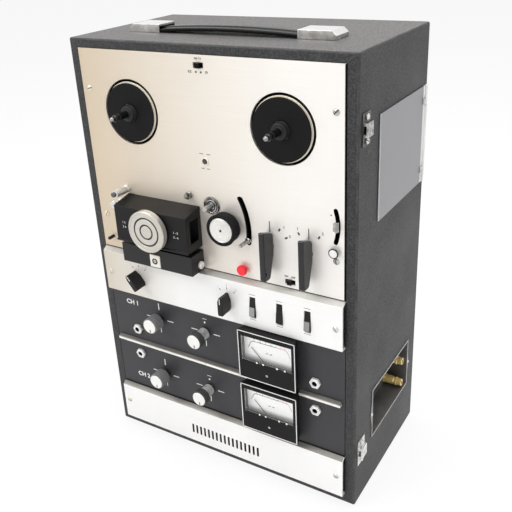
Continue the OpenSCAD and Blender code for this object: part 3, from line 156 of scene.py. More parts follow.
FINISHES = {
    "vinyl": finish("vinyl", 0, 0.50, 0.14, 0.55, grain=540, relief=0.75, cells=True, spec=0.26),
    "vinyl_worn": finish((0.070, 0.0695, 0.070), 0, 0.60, 0.4, 0.4, patch=60, grain=600, relief=0.5, spec=0.3),
    # A lighter copy of the vinyl for the cabinet's top: painted sheen
    "vinyl_top": finish((0.116, 0.111, 0.109), 0, 0.50, 0.16, 0.55, grain=430, relief=0.8, cells=True, spec=0.35),
    "hardboard": finish((0.165, 0.092, 0.048), 0, 0.78, 0.18, 0.25, grain=500, relief=0.3),
    "rubber": finish((0.014, 0.014, 0.0148), 0, 0.62, 0.2, 0.2, relief=0.15, spec=0.07),
    "mat": finish((0.0055, 0.0055, 0.0062), 0, 0.62, 0.3, 0.3, patch=35, grain=600, relief=0.12, spec=0.16),
    "strap": finish((0.0045, 0.0045, 0.005), 0, 0.26, 0.2, 0.15, grain=700, relief=0.15, cells=True, spec=0.13),
    "chrome": finish((0.47, 0.465, 0.455), 1, 0.08, 0.45, 0.05, patch=170),
    # Chrome painted dark where it shows dark surroundings: painted reflection
    "dark_chrome": finish((0.25, 0.242, 0.23), 1, 0.14, 0.65, 0.05, patch=260),
    "nickel": finish((0.47, 0.465, 0.45), 1, 0.20, 0.35, 0.06, patch=200),
    "worn_nickel": finish((0.42, 0.41, 0.39), 1, 0.22, 0.55, 0.2, patch=230, relief=0.15),
    "bright_nickel": finish((0.74, 0.735, 0.72), 0.6, 0.24, 0.22, 0.06, patch=130),
    # Handle caps: a lighter chrome for the tops and a darker one for the sides, painted highlight and painted shade
    "cap_top": finish((0.80, 0.80, 0.795), 1, 0.14, 0.06, 0.04, patch=60),
    "cap_side": finish((0.62, 0.60, 0.575), 1, 0.20, 0.28, 0.08, patch=110),
    # Deck and strip darken and warm towards the left: partly a tint of age, partly painted reflection on the deck and
    # painted shade on the strip's left end
    "deck": finish("deck", 0.30, 0.38, 0.02, 0.05, stretch=(14, 14, 1700), relief=0.03, patch=5,
                   fade=((0.70, 0.598, 0.462), 0.10)),
    "strip": finish("strip", 0.20, 0.42, 0.02, 0.035, stretch=(14, 14, 1900), relief=0.02, patch=5,
                    fade=((0.665, 0.60, 0.505), -0.045)),
    "panel": finish("strip", 0.20, 0.42, 0.02, 0.035, stretch=(14, 14, 1900), relief=0.02, patch=5),
    "divider": finish((0.93, 0.91, 0.86), 0.35, 0.25, 0.08, 0.03, patch=30, stretch=(12, 900, 900), relief=0.01),
    # Sloped edges of the pale panels: darker copies of the panel alloy, painted shade, the lower one darker still
    "bevel": finish((0.63, 0.61, 0.57), 0.35, 0.42, 0.07, 0.08, patch=26, stretch=(12, 1500, 1500)),
    "low_bevel": finish((0.255, 0.244, 0.224), 0.45, 0.38, 0.10, 0.1, patch=26, stretch=(12, 1500, 1500)),
    "emblem": finish((0.63, 0.598, 0.54), 0.55, 0.32, 0.06, 0.08, stretch=(30, 30, 1800)),
    "emblem_ring": finish((0.028, 0.027, 0.026), 0.2, 0.45, 0.1, 0.1),
    "amplifier": finish("amplifier", 0, 0.46, 0.06, 0.10, grain=1100, relief=0.08, spec=0.35),
    "bay_paint": finish((0.092, 0.087, 0.084), 0, 0.55, 0.25, 0.15, patch=40, relief=0.1),
    "cover": finish("cover", 0, 0.42, 0.10, 0.12, grain=1300, relief=0.10, spec=0.22),
    "black_plastic": finish((0.0125, 0.0122, 0.0125), 0, 0.36, 0.16, 0.12, relief=0.06, spec=0.24),
    # Necks of the line knobs: chrome made pale and partly diffuse so that it stays bright: painted reflection
    "collar": finish((0.80, 0.79, 0.77), 0.35, 0.18, 0.40, 0.05, patch=140),
    "lever": finish("lever", 0, 0.13, 0.15, 0.05, relief=0.01, spec=0.5),
    "knob": finish("knob", 0, 0.45, 0.06, 0.10, relief=0.08),
    "dark_knob": finish((0.075, 0.075, 0.077), 0, 0.40, 0.08, 0.1, relief=0.06),
    "knob_cap": finish((0.90, 0.885, 0.85), 0.35, 0.30, 0.03, 0.06, stretch=(900, 900, 40)),
    "spun_cap": finish((0.80, 0.79, 0.755), 0.70, 0.28, 0.08, 0.05, patch=50, stretch=(700, 60, 60)),
    "button": finish("button", 0, 0.30, 0.08, 0.04, relief=0.02, coat=0.2, spec=0.4),
    "flap": finish("flap", 0.15, 0.42, 0.04, 0.07, relief=0.06, patch=9),
    "rim": finish("rim", 0.30, 0.38, 0.05, 0.06, grain=800),
    "hub": finish((0.017, 0.016, 0.016), 0, 0.48, 0.12, 0.12, relief=0.08, spec=0.3),
    "spindle": finish((0.0055, 0.0055, 0.006), 0, 0.28, 0.15, 0.1, spec=0.25),
    "gold": finish("gold", 0.35, 0.30, 0.10, 0.05, patch=120),
    "steel": finish((0.46, 0.46, 0.45), 1, 0.42, 0.10, 0.10),
    "brass": finish((0.62, 0.45, 0.19), 1, 0.35, 0.1, 0.06),
    "motor": finish((0.10, 0.11, 0.12), 0.3, 0.5, 0.12, 0.12, relief=0.1),
    "iron": finish((0.19, 0.18, 0.17), 0.5, 0.55, 0.12, 0.3, stretch=(40, 40, 1400), relief=0.15),
    "winding": finish((0.36, 0.17, 0.06), 0.2, 0.45, 0.15, 0.35, stretch=(40, 1200, 40), relief=0.3),
    "board": finish((0.055, 0.14, 0.075), 0, 0.5, 0.2, 0.3, grain=300, relief=0.1),
    "can": finish((0.10, 0.15, 0.30), 0.1, 0.40, 0.12, 0.06),
    "cone": finish((0.030, 0.028, 0.026), 0, 0.80, 0.2, 0.35, grain=700, relief=0.3),
    "dial": finish((0.985, 0.98, 0.965), 0, 0.60, 0.02, 0.02, grain=900),
    "glass": finish((0.92, 0.94, 0.94), 0, 0.06, 0.02, 0.02, alpha=0.07),
    "lens": finish((0.050, 0.036, 0.022), 0, 0.16, 0.2, 0.1, coat=0.15),
    "ink": finish((0.028, 0.028, 0.030), 0, 0.55, 0.15, 0.15),
    "grey_ink": finish((0.17, 0.165, 0.16), 0, 0.55, 0.15, 0.2),
    "red_ink": finish((0.78, 0.36, 0.33), 0, 0.55, 0.12, 0.12),
    "white_ink": finish((0.86, 0.86, 0.84), 0, 0.50, 0.05, 0.08),
    "ivory": finish((0.88, 0.845, 0.76), 0.1, 0.42, 0.04, 0.06),
    "latch_plate": finish((0.13, 0.127, 0.122), 0.8, 0.36, 0.45, 0.3, patch=150, relief=0.15),
    "hinge_leaf": finish((0.86, 0.86, 0.85), 0.3, 0.34, 0.06, 0.08, patch=60),
    "rocker_grey": finish((0.31, 0.308, 0.305), 0.3, 0.24, 0.1, 0.06),
    "chassis": finish((0.030, 0.030, 0.031), 0, 0.52, 0.12, 0.12, relief=0.1, spec=0.3),
    "meter_case": finish((0.0175, 0.0168, 0.0178), 0, 0.46, 0.12, 0.08, relief=0.03, spec=0.07),
    "needle": finish((0.02, 0.02, 0.02), 0, 0.4, 0.1, 0.1),
}


def look(name):
    """The material of a finish, made on first use."""
    title = name + "_finish"
    made = bpy.data.materials.get(title)
    if made:
        return made
    values = dict(FINISHES[name])
    if isinstance(values["tint"], str):
        values["tint"] = tuple(getattr(bpy.context.scene.recorder_colours, values["tint"]))
    return mix_finish(title, **values)


def feed(tree, socket, value):
    """Sets a socket to a value or links it to another node's output."""
    if isinstance(value, bpy.types.NodeSocket):
        tree.links.new(value, socket)
    else:
        socket.default_value = value


def fill(tree, node, **values):
    """Feeds a node's sockets by their names, with low lines for spaces."""
    for name, value in values.items():
        feed(tree, node.inputs[name.replace("_", " ")], value)
    return node


def add(tree, kind, **values):
    """A new shader node with its sockets fed."""
    return fill(tree, tree.nodes.new("ShaderNode" + kind), **values)


def chain(tree, kind, *values, operation=None):
    """The first output of a new node whose sockets are fed in order."""
    node = add(tree, kind)
    if operation:
        node.operation = operation
    for socket, value in zip(node.inputs, values):
        feed(tree, socket, value)
    return node.outputs[0]


def ramp(tree, factor, low_at, low, high_at, high):
    """A two-stop colour ramp."""
    node = add(tree, "ValToRGB", Fac=factor)
    for stop, at, value in zip(node.color_ramp.elements, (low_at, high_at), (low, high)):
        stop.position, stop.color = at, (*value, 1)
    return node.outputs["Color"]


def multiplied(tree, first, second):
    """The product of two colours."""
    mix = add(tree, "Mix")
    mix.data_type, mix.blend_type = "RGBA", "MULTIPLY"
    return fill(tree, mix, Factor=1, A=first, B=second).outputs["Result"]


def fading(tree, place, tint, end, start=AGE_AND_SHADE_FROM, axis="X"):
    """A tint that fades to white from start to end, in metres along an axis."""
    apart = add(tree, "SeparateXYZ", Vector=place)
    across = add(tree, "MapRange", From_Min=start, From_Max=end, Value=apart.outputs[axis])
    return ramp(tree, across.outputs["Result"], 0, tint, 1, (1, 1, 1))


def mix_finish(title, tint, metal, rough, tone, speck, grain=1000, stretch=None, relief=0.05, patch=16, cells=False,
               coat=0, alpha=1, spec=0.5, fade=None):
    """A procedural finish: broad tone patches, a fine grain in colour and relief, and uneven gloss."""
    material = bpy.data.materials.new(title)
    material.use_nodes = True
    tree = material.node_tree
    place = add(tree, "TexCoord").outputs["Object"]
    turn = add(tree, "Mapping", Vector=place, Scale=stretch or (1, 1, 1))
    broad = add(tree, "TexNoise", Vector=place, Scale=patch, Detail=3).outputs["Fac"]
    kind, output = ("TexVoronoi", "Distance") if cells else ("TexNoise", "Fac")
    fine = add(tree, kind, Vector=turn.outputs["Vector"], Scale=1 if stretch else grain)
    grains = fine.outputs[output]
    tones = ramp(tree, broad, 0.3, [c * (1 - tone) for c in tint], 0.7, [min(c * (1 + tone), 1) for c in tint])
    result = multiplied(tree, tones, ramp(tree, grains, 0.25, [1 - speck] * 3, 0.75, [1] * 3))
    if fade:
        result = multiplied(tree, result, fading(tree, place, *fade))
    gloss = add(tree, "MapRange", Value=broad, From_Min=0.3, From_Max=0.7, To_Min=rough * 0.85,
                To_Max=min(rough * 1.15, 1))
    bump = add(tree, "Bump", Strength=relief, Distance=0.25 * MM, Height=grains)
    fill(tree, tree.nodes["Principled BSDF"], Base_Color=result, Metallic=metal, Roughness=gloss.outputs["Result"],
         Normal=bump.outputs["Normal"], Coat_Weight=coat, Alpha=alpha, Specular_IOR_Level=spec)
    return material


def span(node):
    """Lowest and highest corner of a frame node."""
    low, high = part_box(node)
    return TO_SHOP @ low, TO_SHOP @ high


def measure(node):
    """Lowest and highest corner, middle and half width of a frame node."""
    low, high = span(node)
    return low, high, (low + high) / 2, (high.x - low.x) / 2


def centre(node):
    """Middle of a frame node's box."""
    return measure(node)[2]


def solid(node):
    """A welded copy of a frame node with its flat faces joined."""
    bm = bmesh.new()
    bm.from_mesh(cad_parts[node].data)
    bm.transform(TO_SHOP)
    bmesh.ops.remove_doubles(bm, verts=bm.verts, dist=WELD)
    bmesh.ops.dissolve_limit(bm, angle_limit=math.radians(1), verts=bm.verts, edges=bm.edges)
    return paint(bm, 0, lambda f, c: True)


def islands(node):
    """Lowest and highest corner and middle of a node's separate solids, from left to right and from low to high."""
    bm = solid(node)
    left = set(bm.verts)
    boxes = []
    while left:
        open_verts = [left.pop()]
        seen = []
        while open_verts:
            vert = open_verts.pop()
            seen.append(vert.co.copy())
            near = {edge.other_vert(vert) for edge in vert.link_edges} & left
            left -= near
            open_verts += near
        low, high = (Vector([pick(co[k] for co in seen) for k in range(3)]) for pick in (min, max))
        boxes.append((low, high, (low + high) / 2))
    bm.free()
    return sorted(boxes, key=lambda box: (round(box[0].x), round(box[0].z)))


def soften(bm, width, segments=2, angle=40, where=None):
    """Rounds the edges sharper than an angle and gives the new faces."""
    limit = math.radians(angle)
    sharp = [e for e in bm.edges if e.is_manifold and e.calc_face_angle(0) > limit and (where is None or where(e))]
    made = bmesh.ops.bevel(bm, geom=sharp, offset=width, offset_type="OFFSET", affect="EDGES", segments=segments,
                           profile=0.5, clamp_overlap=False, material=-1)
    return made["faces"]


def edge_width(name):
    """A size property in millimetres."""
    return getattr(bpy.context.scene.recorder_sizes, name) / MM


def softened(node, width, segments=2, angle=40, where=None):
    """A frame node's copy with rounded edges."""
    bm = solid(node)
    soften(bm, width, segments, angle, where)
    return bm


def block(low, high, width=0):
    """A box between two corners with rounded edges."""
    low, high = Vector(low), Vector(high)
    bm = bmesh.new()
    size = Matrix.Diagonal((*(high - low), 1))
    bmesh.ops.create_cube(bm, size=1, matrix=Matrix.Translation((low + high) / 2) @ size)
    if width:
        soften(bm, width)
    return bm


def rounded(points, radius, steps=3, loop=False):
    """Points of a line whose corners are replaced by small curves."""
    points = [Vector(p) for p in points]
    turns = range(len(points)) if loop else range(1, len(points) - 1)
    curve = [] if loop else [points[0]]
    for k in turns:
        corner, before, after = points[k], points[k - 1], points[(k + 1) % len(points)]
        back, ahead = before - corner, after - corner
        reach = min(radius, 0.45 * back.length, 0.45 * ahead.length)
        start, end = corner + back.normalized() * reach, corner + ahead.normalized() * reach
        for step in range(steps + 1):
            t = step / steps
            curve.append(start * (1 - t) ** 2 + corner * 2 * t * (1 - t) + end * t ** 2)
    return curve if loop else curve + [points[-1]]


AXES = {"X": (Vector((1, 0, 0)), Vector((0, 1, 0))), "Y": (Vector((0, 1, 0)), Vector((1, 0, 0))),
        "Z": (Vector((0, 0, 1)), Vector((1, 0, 0)))}
PLANES = {"X": lambda u, v, w: (w, u, v), "Y": lambda u, v, w: (u, w, v), "Z": lambda u, v, w: (u, v, w)}
FACING = {"front": Matrix.Identity(4), "right": Matrix.Rotation(math.pi / 2, 4, "Z"),
          "left": Matrix.Rotation(-math.pi / 2, 4, "Z"), "back": Matrix.Rotation(math.pi, 4, "Z")}


def turned(profile, middle, axis="Y", steps=48, start=0, curve=0, loop=False):
    """A lathe form: (radius, along) points, along counted from start, spun around an axis through middle."""
    along, out = AXES[axis]
    middle = Vector(middle)
    middle -= along * middle.dot(along)
    if curve:
        profile = rounded(profile, curve, loop=loop)
    bm = bmesh.new()
    line = [bm.verts.new(middle + along * (start + p[1]) + out * p[0]) for p in profile]
    ends = zip(line, line[1:] + line[:1]) if loop else zip(line, line[1:])
    edges = [bm.edges.new(pair) for pair in ends]
    bmesh.ops.spin(bm, geom=line + edges, cent=middle, axis=along, angle=2 * math.pi, steps=steps, use_merge=True)
    bmesh.ops.remove_doubles(bm, verts=bm.verts, dist=WELD)
    bmesh.ops.recalc_face_normals(bm, faces=bm.faces)
    return bm


def drawn_out(bm, faces):
    """Extrudes faces and gives the new points and faces."""
    made = bmesh.ops.extrude_face_region(bm, geom=faces)["geom"]
    return [[part for part in made if isinstance(part, kind)] for kind in (bmesh.types.BMVert, bmesh.types.BMFace)]


def plate(outline, low, high, axis="Y", width=0):
    """An outline drawn out along an axis from low to high."""
    bm = bmesh.new()
    face = bm.faces.new([bm.verts.new(PLANES[axis](p[0], p[1], low)) for p in outline])
    verts, _ = drawn_out(bm, [face])
    bmesh.ops.translate(bm, verts=verts, vec=AXES[axis][0] * (high - low))
    bmesh.ops.recalc_face_normals(bm, faces=bm.faces)
    if width:
        soften(bm, width)
    return bm


def joined(*forms):
    """Several forms as one."""
    bm = bmesh.new()
    for form in forms:
        part = bpy.data.meshes.new("part")
        form.to_mesh(part)
        form.free()
        bm.from_mesh(part)
        bpy.data.meshes.remove(part)
    return bm


def swung(bm, turn, about):
    """A form turned by degrees, counted as on a clock, around a front axis through a point."""
    about = Matrix.Translation(about)
    bm.transform(about @ Matrix.Rotation(math.radians(turn), 4, "Y") @ about.inverted())
    return bm


def stroke(start, end, y, width):
    """A printed line on a front face at depth y."""
    start, end = Vector(start), Vector(end)
    run = (end - start).normalized() * width / 2
    side = Vector((-run.y, run.x))
    return plate([start - side, end - side, end + side, start + side], y - INK_OUT, y + INK_IN)


def clock(x, z, angle, radius):
    """The point at a distance from x, z; the angle runs clockwise from upright."""
    return Vector((x + math.sin(math.radians(angle)) * radius, z + math.cos(math.radians(angle)) * radius))


def spoke(at, angle, inner, outer, y, width):
    """A printed line that points away from a point."""
    return stroke(clock(at.x, at.z, angle, inner), clock(at.x, at.z, angle, outer), y, width)


def dot(x, z, radius, y):
    """A printed dot on a front face."""
    return turned([(0, -INK_OUT), (radius, -INK_OUT), (radius, INK_IN), (0, INK_IN)], (x, 0, z), "Y", 16, y)


def arc(x, z, radius, last, y, width, steps):
    """A printed arc around x, z from upright to an angle."""
    angles = [last * k / steps for k in range(steps + 1)]
    outer, inner = ([clock(x, z, a, radius + side * width / 2) for a in angles] for side in (1, -1))
    return plate(outer + inner[::-1], y - INK_OUT, y + INK_IN)


def lettering(words, x, z, height, y, bold=0):
    """Plain figures printed on a front face, centred on x, z."""
    text = bpy.data.curves.new("figures", "FONT")
    text.body = words
    text.align_x, text.align_y = "CENTER", "CENTER"
    text.size = height * 1.4
    text.extrude = 0.07
    text.offset = bold
    text.resolution_u = 3
    holder = bpy.data.objects.new("figures", text)
    bpy.context.scene.collection.objects.link(holder)
    ready = holder.evaluated_get(bpy.context.evaluated_depsgraph_get())
    mesh = bpy.data.meshes.new_from_object(ready)
    bm = bmesh.new()
    bm.from_mesh(mesh)
    bpy.data.objects.remove(holder)
    bpy.data.curves.remove(text)
    bpy.data.meshes.remove(mesh)
    bmesh.ops.remove_doubles(bm, verts=bm.verts, dist=1e-4)
    bm.transform(Matrix.Translation((x, y - 0.03, z)) @ Matrix.Rotation(math.pi / 2, 4, "X"))
    return paint(bm, 0, lambda f, c: True)


def cut(bm, point, normal, dist=0):
    """Divides the faces of a form along a plane and keeps both sides."""
    every = bm.verts[:] + bm.edges[:] + bm.faces[:]
    bmesh.ops.bisect_plane(bm, geom=every, plane_co=point, plane_no=normal, dist=dist)


def paint(bm, index, test):
    """Gives a form's faces that pass a test another finish of its list."""
    for face in bm.faces:
        if test(face, face.calc_center_median()):
            face.material_index = index
    return bm


def screw(seat, radius, height, facing="front", turn=20, shank=1.6):
    """A slotted screw whose round head stands on a seat; the slot takes the second finish."""
    head = [(0, -height), (radius * 0.5, -height * 0.95), (radius * 0.82, -height * 0.68), (radius, -height * 0.2),
            (radius, 0), (radius * 0.5, 0), (radius * 0.5, shank), (0, shank)]
    bm = turned(head, (0, 0, 0), steps=24)
    half = radius * 0.15
    for side in (-half, half):
        cut(bm, (0, 0, side), (0, 0, 1), 1e-5)
    slot = [f for f in bm.faces if abs(f.calc_center_median().z) < half * 0.99 and f.normal.y < -0.35]
    verts, faces = drawn_out(bm, slot)
    bmesh.ops.translate(bm, verts=verts, vec=(0, height * 0.45, 0))
    for face in faces:
        face.material_index = 1
    bmesh.ops.delete(bm, geom=slot, context="FACES")
    bm.transform(Matrix.Translation(Vector(seat)) @ FACING[facing] @ Matrix.Rotation(math.radians(turn), 4, "Y"))
    return bm


def fluted(radius, depth, count, low, high, middle, axis="Y", chamfer=0.6):
    """A grip with flutes around it, drawn out along an axis with a chamfer at both ends."""
    along = AXES[axis][0]
    middle = Vector(middle)
    middle -= along * middle.dot(along)
    bm = bmesh.new()
    lean = Matrix.Rotation(math.pi / 2, 4, "X" if axis == "Y" else "Y")
    bmesh.ops.create_circle(bm, cap_ends=True, radius=radius, segments=4 * count, matrix=lean)
    cap = next(iter(bm.faces))
    for k, vert in enumerate(cap.verts):
        if k % 4 > 1:
            vert.co *= (radius - depth) / radius
    bmesh.ops.translate(bm, verts=bm.verts, vec=middle + along * low)
    narrow = 1 - chamfer / radius
    bmesh.ops.scale(bm, verts=bm.verts, vec=(narrow,) * 3, space=Matrix.Translation(-(middle + along * low)))
    for step, (reach, widen) in enumerate(((chamfer, 1 / narrow), (high - low - 2 * chamfer, 1), (chamfer, narrow))):
        verts, faces = drawn_out(bm, [cap])
        if step:
            bmesh.ops.delete(bm, geom=[cap], context="FACES_ONLY")
        cap = faces[0]
        bmesh.ops.translate(bm, verts=verts, vec=along * reach)
        hub = cap.calc_center_median()
        bmesh.ops.scale(bm, verts=verts, vec=(widen,) * 3, space=Matrix.Translation(-hub))
    bmesh.ops.recalc_face_normals(bm, faces=bm.faces)
    return bm


def piece(name, body, slot, *forms, stands_for=()):
    """Joins forms, each a mesh or a list of meshes and its finishes, into one object that moves with a body."""
    finishes = []
    parts = []
    for form, *names in forms:
        bm = joined(*form) if isinstance(form, list) else form
        finishes += [name for name in names if name not in finishes]
        places = [finishes.index(name) for name in names]
        for face in bm.faces:
            face.material_index = places[face.material_index]
        parts.append(bm)
    whole = joined(*parts)
    whole.transform(TO_FRAME)
    mesh = bpy.data.meshes.new(name)
    whole.to_mesh(mesh)
    whole.free()
    for title in finishes:
        mesh.materials.append(look(title))
    mesh.shade_smooth()
    mesh.set_sharp_from_angle(angle=math.radians(SHARP_FROM))
    obj = bpy.data.objects.new(name, mesh)
    bpy.context.scene.collection.objects.link(obj)
    even = obj.modifiers.new("Even shading", "WEIGHTED_NORMAL")
    even.keep_sharp = True
    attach(obj, body)
    if stands_for:
        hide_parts(*stands_for)


def covered(name, body, slot, node, width, title):
    """A piece that is a frame node with rounded edges in one finish."""
    piece(name, body, slot, (softened(node, width), title), stands_for=[node])


class BuildCabinet(bpy.types.Operator):
    """Vinyl covered cabinet with rounded, worn outer edges"""

    bl_idname = "recorder.build_cabinet"
    bl_label = "Cabinet"

    def execute(self, context):
        bm = solid("cabinet_shell")
        low, high = span("cabinet_shell")
        sides = [(k, corner[k]) for k in range(3) for corner in (low, high)]

        def outer(edge):
            return sum(all(abs(v.co[k] - side) < 0.01 for v in edge.verts) for k, side in sides) == 2

        for face in soften(bm, edge_width("corner"), 3, where=outer):
            face.material_index = 1
        soften(bm, 0.5, 2, 60)
        # The top face takes the lighter vinyl: painted sheen
        paint(bm, 2, lambda f, c: f.normal.z > 0.9 and c.z > high.z - 0.5)
        piece("cabinet_cover", "base", "vinyl_board", (bm, "vinyl", "vinyl_worn", "vinyl_top"),
              stands_for=["cabinet_shell"])

        low, high, mid, _ = measure("rear_panel")
        heads = [screw((x, high.y, z), 3.2, 1.3, "back", 25 + 40 * k) for x in (low.x + 8, high.x - 8)
                 for k, z in enumerate((low.z + 12, mid.z, high.z - 12))]
        piece("rear_board", "base", "hardboard", (softened("rear_panel", 0.5), "hardboard"),
              (heads, "nickel", "ink"), stands_for=["rear_panel"])

        feet, pads = [], []
        for low, high, mid in islands("rubber_feet"):
            r, top = (high.x - low.x) / 2, high.z - low.z
            foot = [(0, 1.5), (3.4, 1.5), (3.4, 0), (r - 1, 0), (r, 1.6), (r - 0.6, top), (0, top)]
            feet.append(turned(foot, mid, "Z", 40, low.z, 0.4))
            pads.append(turned([(0, 0.8), (2.4, 1), (2.4, 1.6), (0, 1.6)], mid, "Z", 20, low.z))
        piece("feet", "base", "rubber", (feet, "rubber"), (pads, "nickel"), stands_for=["rubber_feet"])
        return {"FINISHED"}


class BuildHandle(bpy.types.Operator):
    """Carrying strap with its ridge and the two bright end caps"""

    bl_idname = "recorder.build_handle"
    bl_label = "Handle"

    def execute(self, context):
        # The caps' sides take the darker chrome and the tops the lighter: painted shade and painted highlight
        caps = paint(softened("handle_caps", 0.4), 1, lambda f, c: abs(f.normal.z) < 0.6)
        piece("handle_ends", "base", "chrome", (caps, "cap_top", "cap_side"), stands_for=["handle_caps"])
        low, high, _, half = measure("handle_strap")
        top = span("cabinet_shell")[1].z
        wide, thick = high.y - low.y, 5.0
        bow = high.z - top - thick
        radius = (half * half + bow * bow) / (2 * bow)
        hub = Vector((0, 0, top + bow - radius))
        section = [(0, 0), (wide, 0), (wide, 0.62 * thick), (wide - 2, 0.74 * thick), (wide - 8, 0.8 * thick),
                   (wide - 9.5, thick), (9.5, thick), (8, 0.8 * thick), (2, 0.74 * thick), (0, 0.62 * thick)]
        bm = bmesh.new()
        ring = [bm.verts.new((0, low.y + p.x, hub.z + radius + p.y)) for p in rounded(section, 0.7, loop=True)]
        edges = [bm.edges.new(pair) for pair in zip(ring, ring[1:] + ring[:1])]
        sweep = 2 * math.asin(half / (radius + thick))
        bmesh.ops.rotate(bm, verts=ring, cent=hub, matrix=Matrix.Rotation(-sweep / 2, 3, "Y"))
        bmesh.ops.spin(bm, geom=ring + edges, cent=hub, axis=(0, 1, 0), angle=sweep, steps=44)
        bmesh.ops.holes_fill(bm, edges=[e for e in bm.edges if e.is_boundary])
        bmesh.ops.recalc_face_normals(bm, faces=bm.faces)
        piece("carry_strap", "base", "strap", (bm, "strap"), stands_for=["handle_strap"])
        return {"FINISHED"}


class BuildSides(bpy.types.Operator):
    """Latch keepers, hinges, flaps, speakers and the jack bay with its sockets"""

    bl_idname = "recorder.build_sides"
    bl_label = "Side fittings"

    def execute(self, context):
        wall = span("cabinet_shell")[1].x
        heads = []
        for low, high, mid in islands("side_fittings"):
            out, facing = (1, "right") if low.x > 0 else (-1, "left")
            if high.z - low.z <= KEEPER_LENGTH:
                heads += [screw((out * (wall + 2.1), mid.y, z), 3.1, 1.3, facing, 30 + 70 * k)
                          for k, z in enumerate((low.z + 4.5, high.z - 4.5))]
        plug = turned([(0, 0.5), (1.1, 0.4), (1.5, -0.2), (0, -0.2)], PLUG_AT, "X", 20, wall)
        fittings = paint(softened("side_fittings", 0.25), 1, lambda f, c: abs(c.x) < wall + 1.3)
        paint(fittings, 2, lambda f, c: c.y > HINGES_FROM)
        # The lower keepers take a brighter nickel than the upper ones: painted highlight
        paint(fittings, 3, lambda f, c: c.z < HIGHLIT_BELOW)
        piece("latches_and_hinges", "base", "nickel",
              (fittings, "worn_nickel", "latch_plate", "hinge_leaf", "bright_nickel"),
              (heads, "bright_nickel", "ink"), (plug, "latch_plate"), stands_for=["side_fittings"])

        for node, out in (("flap_right", 1), ("flap_left", -1)):
            low, high = span(node)
            leaf = high.y - 9
            face = wall + 1.6
            sheet = softened(node, 0.25)
            cut(sheet, (0, leaf, 0), (0, 1, 0))
            # The rear strip is the hinge leaf; the pale front edge is a painted highlight
            paint(sheet, 1, lambda f, c: c.y > leaf or c.y < low.y + 0.4)
            clips = []
            for z in (low.z + 16, high.z - 16):
                for rise, back, front, half, width in ((1.6, 12, 5.5, 3.5, 0.5), (0.8, 6, 3.6, 2, 0.3)):
                    left, right = sorted((out * (face - 0.3), out * (face + rise)))
                    clips.append(block((left, high.y - back, z - half), (right, high.y - front, z + half), width))
            piece(node + "_sheet", node, "grey_paint", (sheet, "flap", "hinge_leaf"), (clips, "chrome"),
                  stands_for=[node])

        r = CONE_RADIUS
        basket = [(0, 18), (r / 4, 18), (r - 1, 3), (r - 1, 0), (r + 8, 0), (r + 8, 3), (r + 3, 3), (r / 2, 24),
                  (r / 2, 38), (0, 38)]
        cone = [(0, 9), (6, 9.6), (9, 12), (10.5, 15.5), (r - 8, 4.5), (r - 6, 1.6), (r - 4, 1), (r - 2.4, 2.4),
                (r - 1.4, 3.4), (r - 2.4, 4), (r - 4, 2.2), (r - 6, 3), (r - 8, 6), (10.5, 17), (0, 17)]
        frames, cones = ([turned([(p, out * (SPEAKER_FACE - q)) for p, q in profile], centre("speakers"), "X", 56)
                          for out in (-1, 1)] for profile in (basket, cone))
        piece("side_speakers", "base", "iron", (frames, "steel"), (cones, "cone"), stands_for=["speakers"])

        low, high, mid, _ = measure("jack_bay")
        bay = paint(softened("jack_bay", 0.3), 1, lambda f, c: c.x > wall - 0.2)
        bumps = [turned([(0, 1.1), (1.4, 0.8), (2, -0.3), (0, -0.3)], (0, y, mid.z), "X", 20, high.x)
                 for y in (low.y - 0.6, high.y + 0.6)]
        tabs = [plate([(y - out * 0.6, mid.z - 20), (y + out * 3.2, mid.z), (y - out * 0.6, mid.z + 20)], wall,
                      wall + 0.8, "X", 0.2) for y, out in ((low.y, -1), (high.y, 1))]
        piece("side_bay", "base", "grey_paint", (bay, "bay_paint", "rocker_grey"), (tabs, "rocker_grey"),
              (bumps, "bright_nickel"), stands_for=["jack_bay"])

        sleeves, seats = [], []
        r, barrel = SHELL_RADIUS, SHELL_RADIUS + BARREL_GROWTH
        for low, high, mid in islands("rca_jacks"):
            back = low.x - high.x
            shell = [(0, back), (r, back), (r, back + 6), (r + 2, back + 6), (r + 2, back + 8), (barrel, back + 8.2),
                     (barrel, -11.4), (barrel - 0.5, -10.4), (r + 0.2, -9.6), (r + 0.2, -9), (barrel, -8.6),
                     (barrel, -6.8), (r + 0.4, -6.4), (r + 0.4, -0.6), (r - 0.3, 0), (2.9, 0), (2.9, -2.2), (0, -2.2)]
            sleeves.append(turned(shell, mid, "X", 36, high.x))
            seat = [(1.2, -2.4), (1.2, -1), (2.8, -1), (2.8, -2.4)]
            seats.append(turned(seat, mid, "X", 28, high.x, loop=True))
        piece("phono_sockets", "base", "gold", (sleeves, "gold"), (seats, "black_plastic"), stands_for=["rca_jacks"])
        return {"FINISHED"}


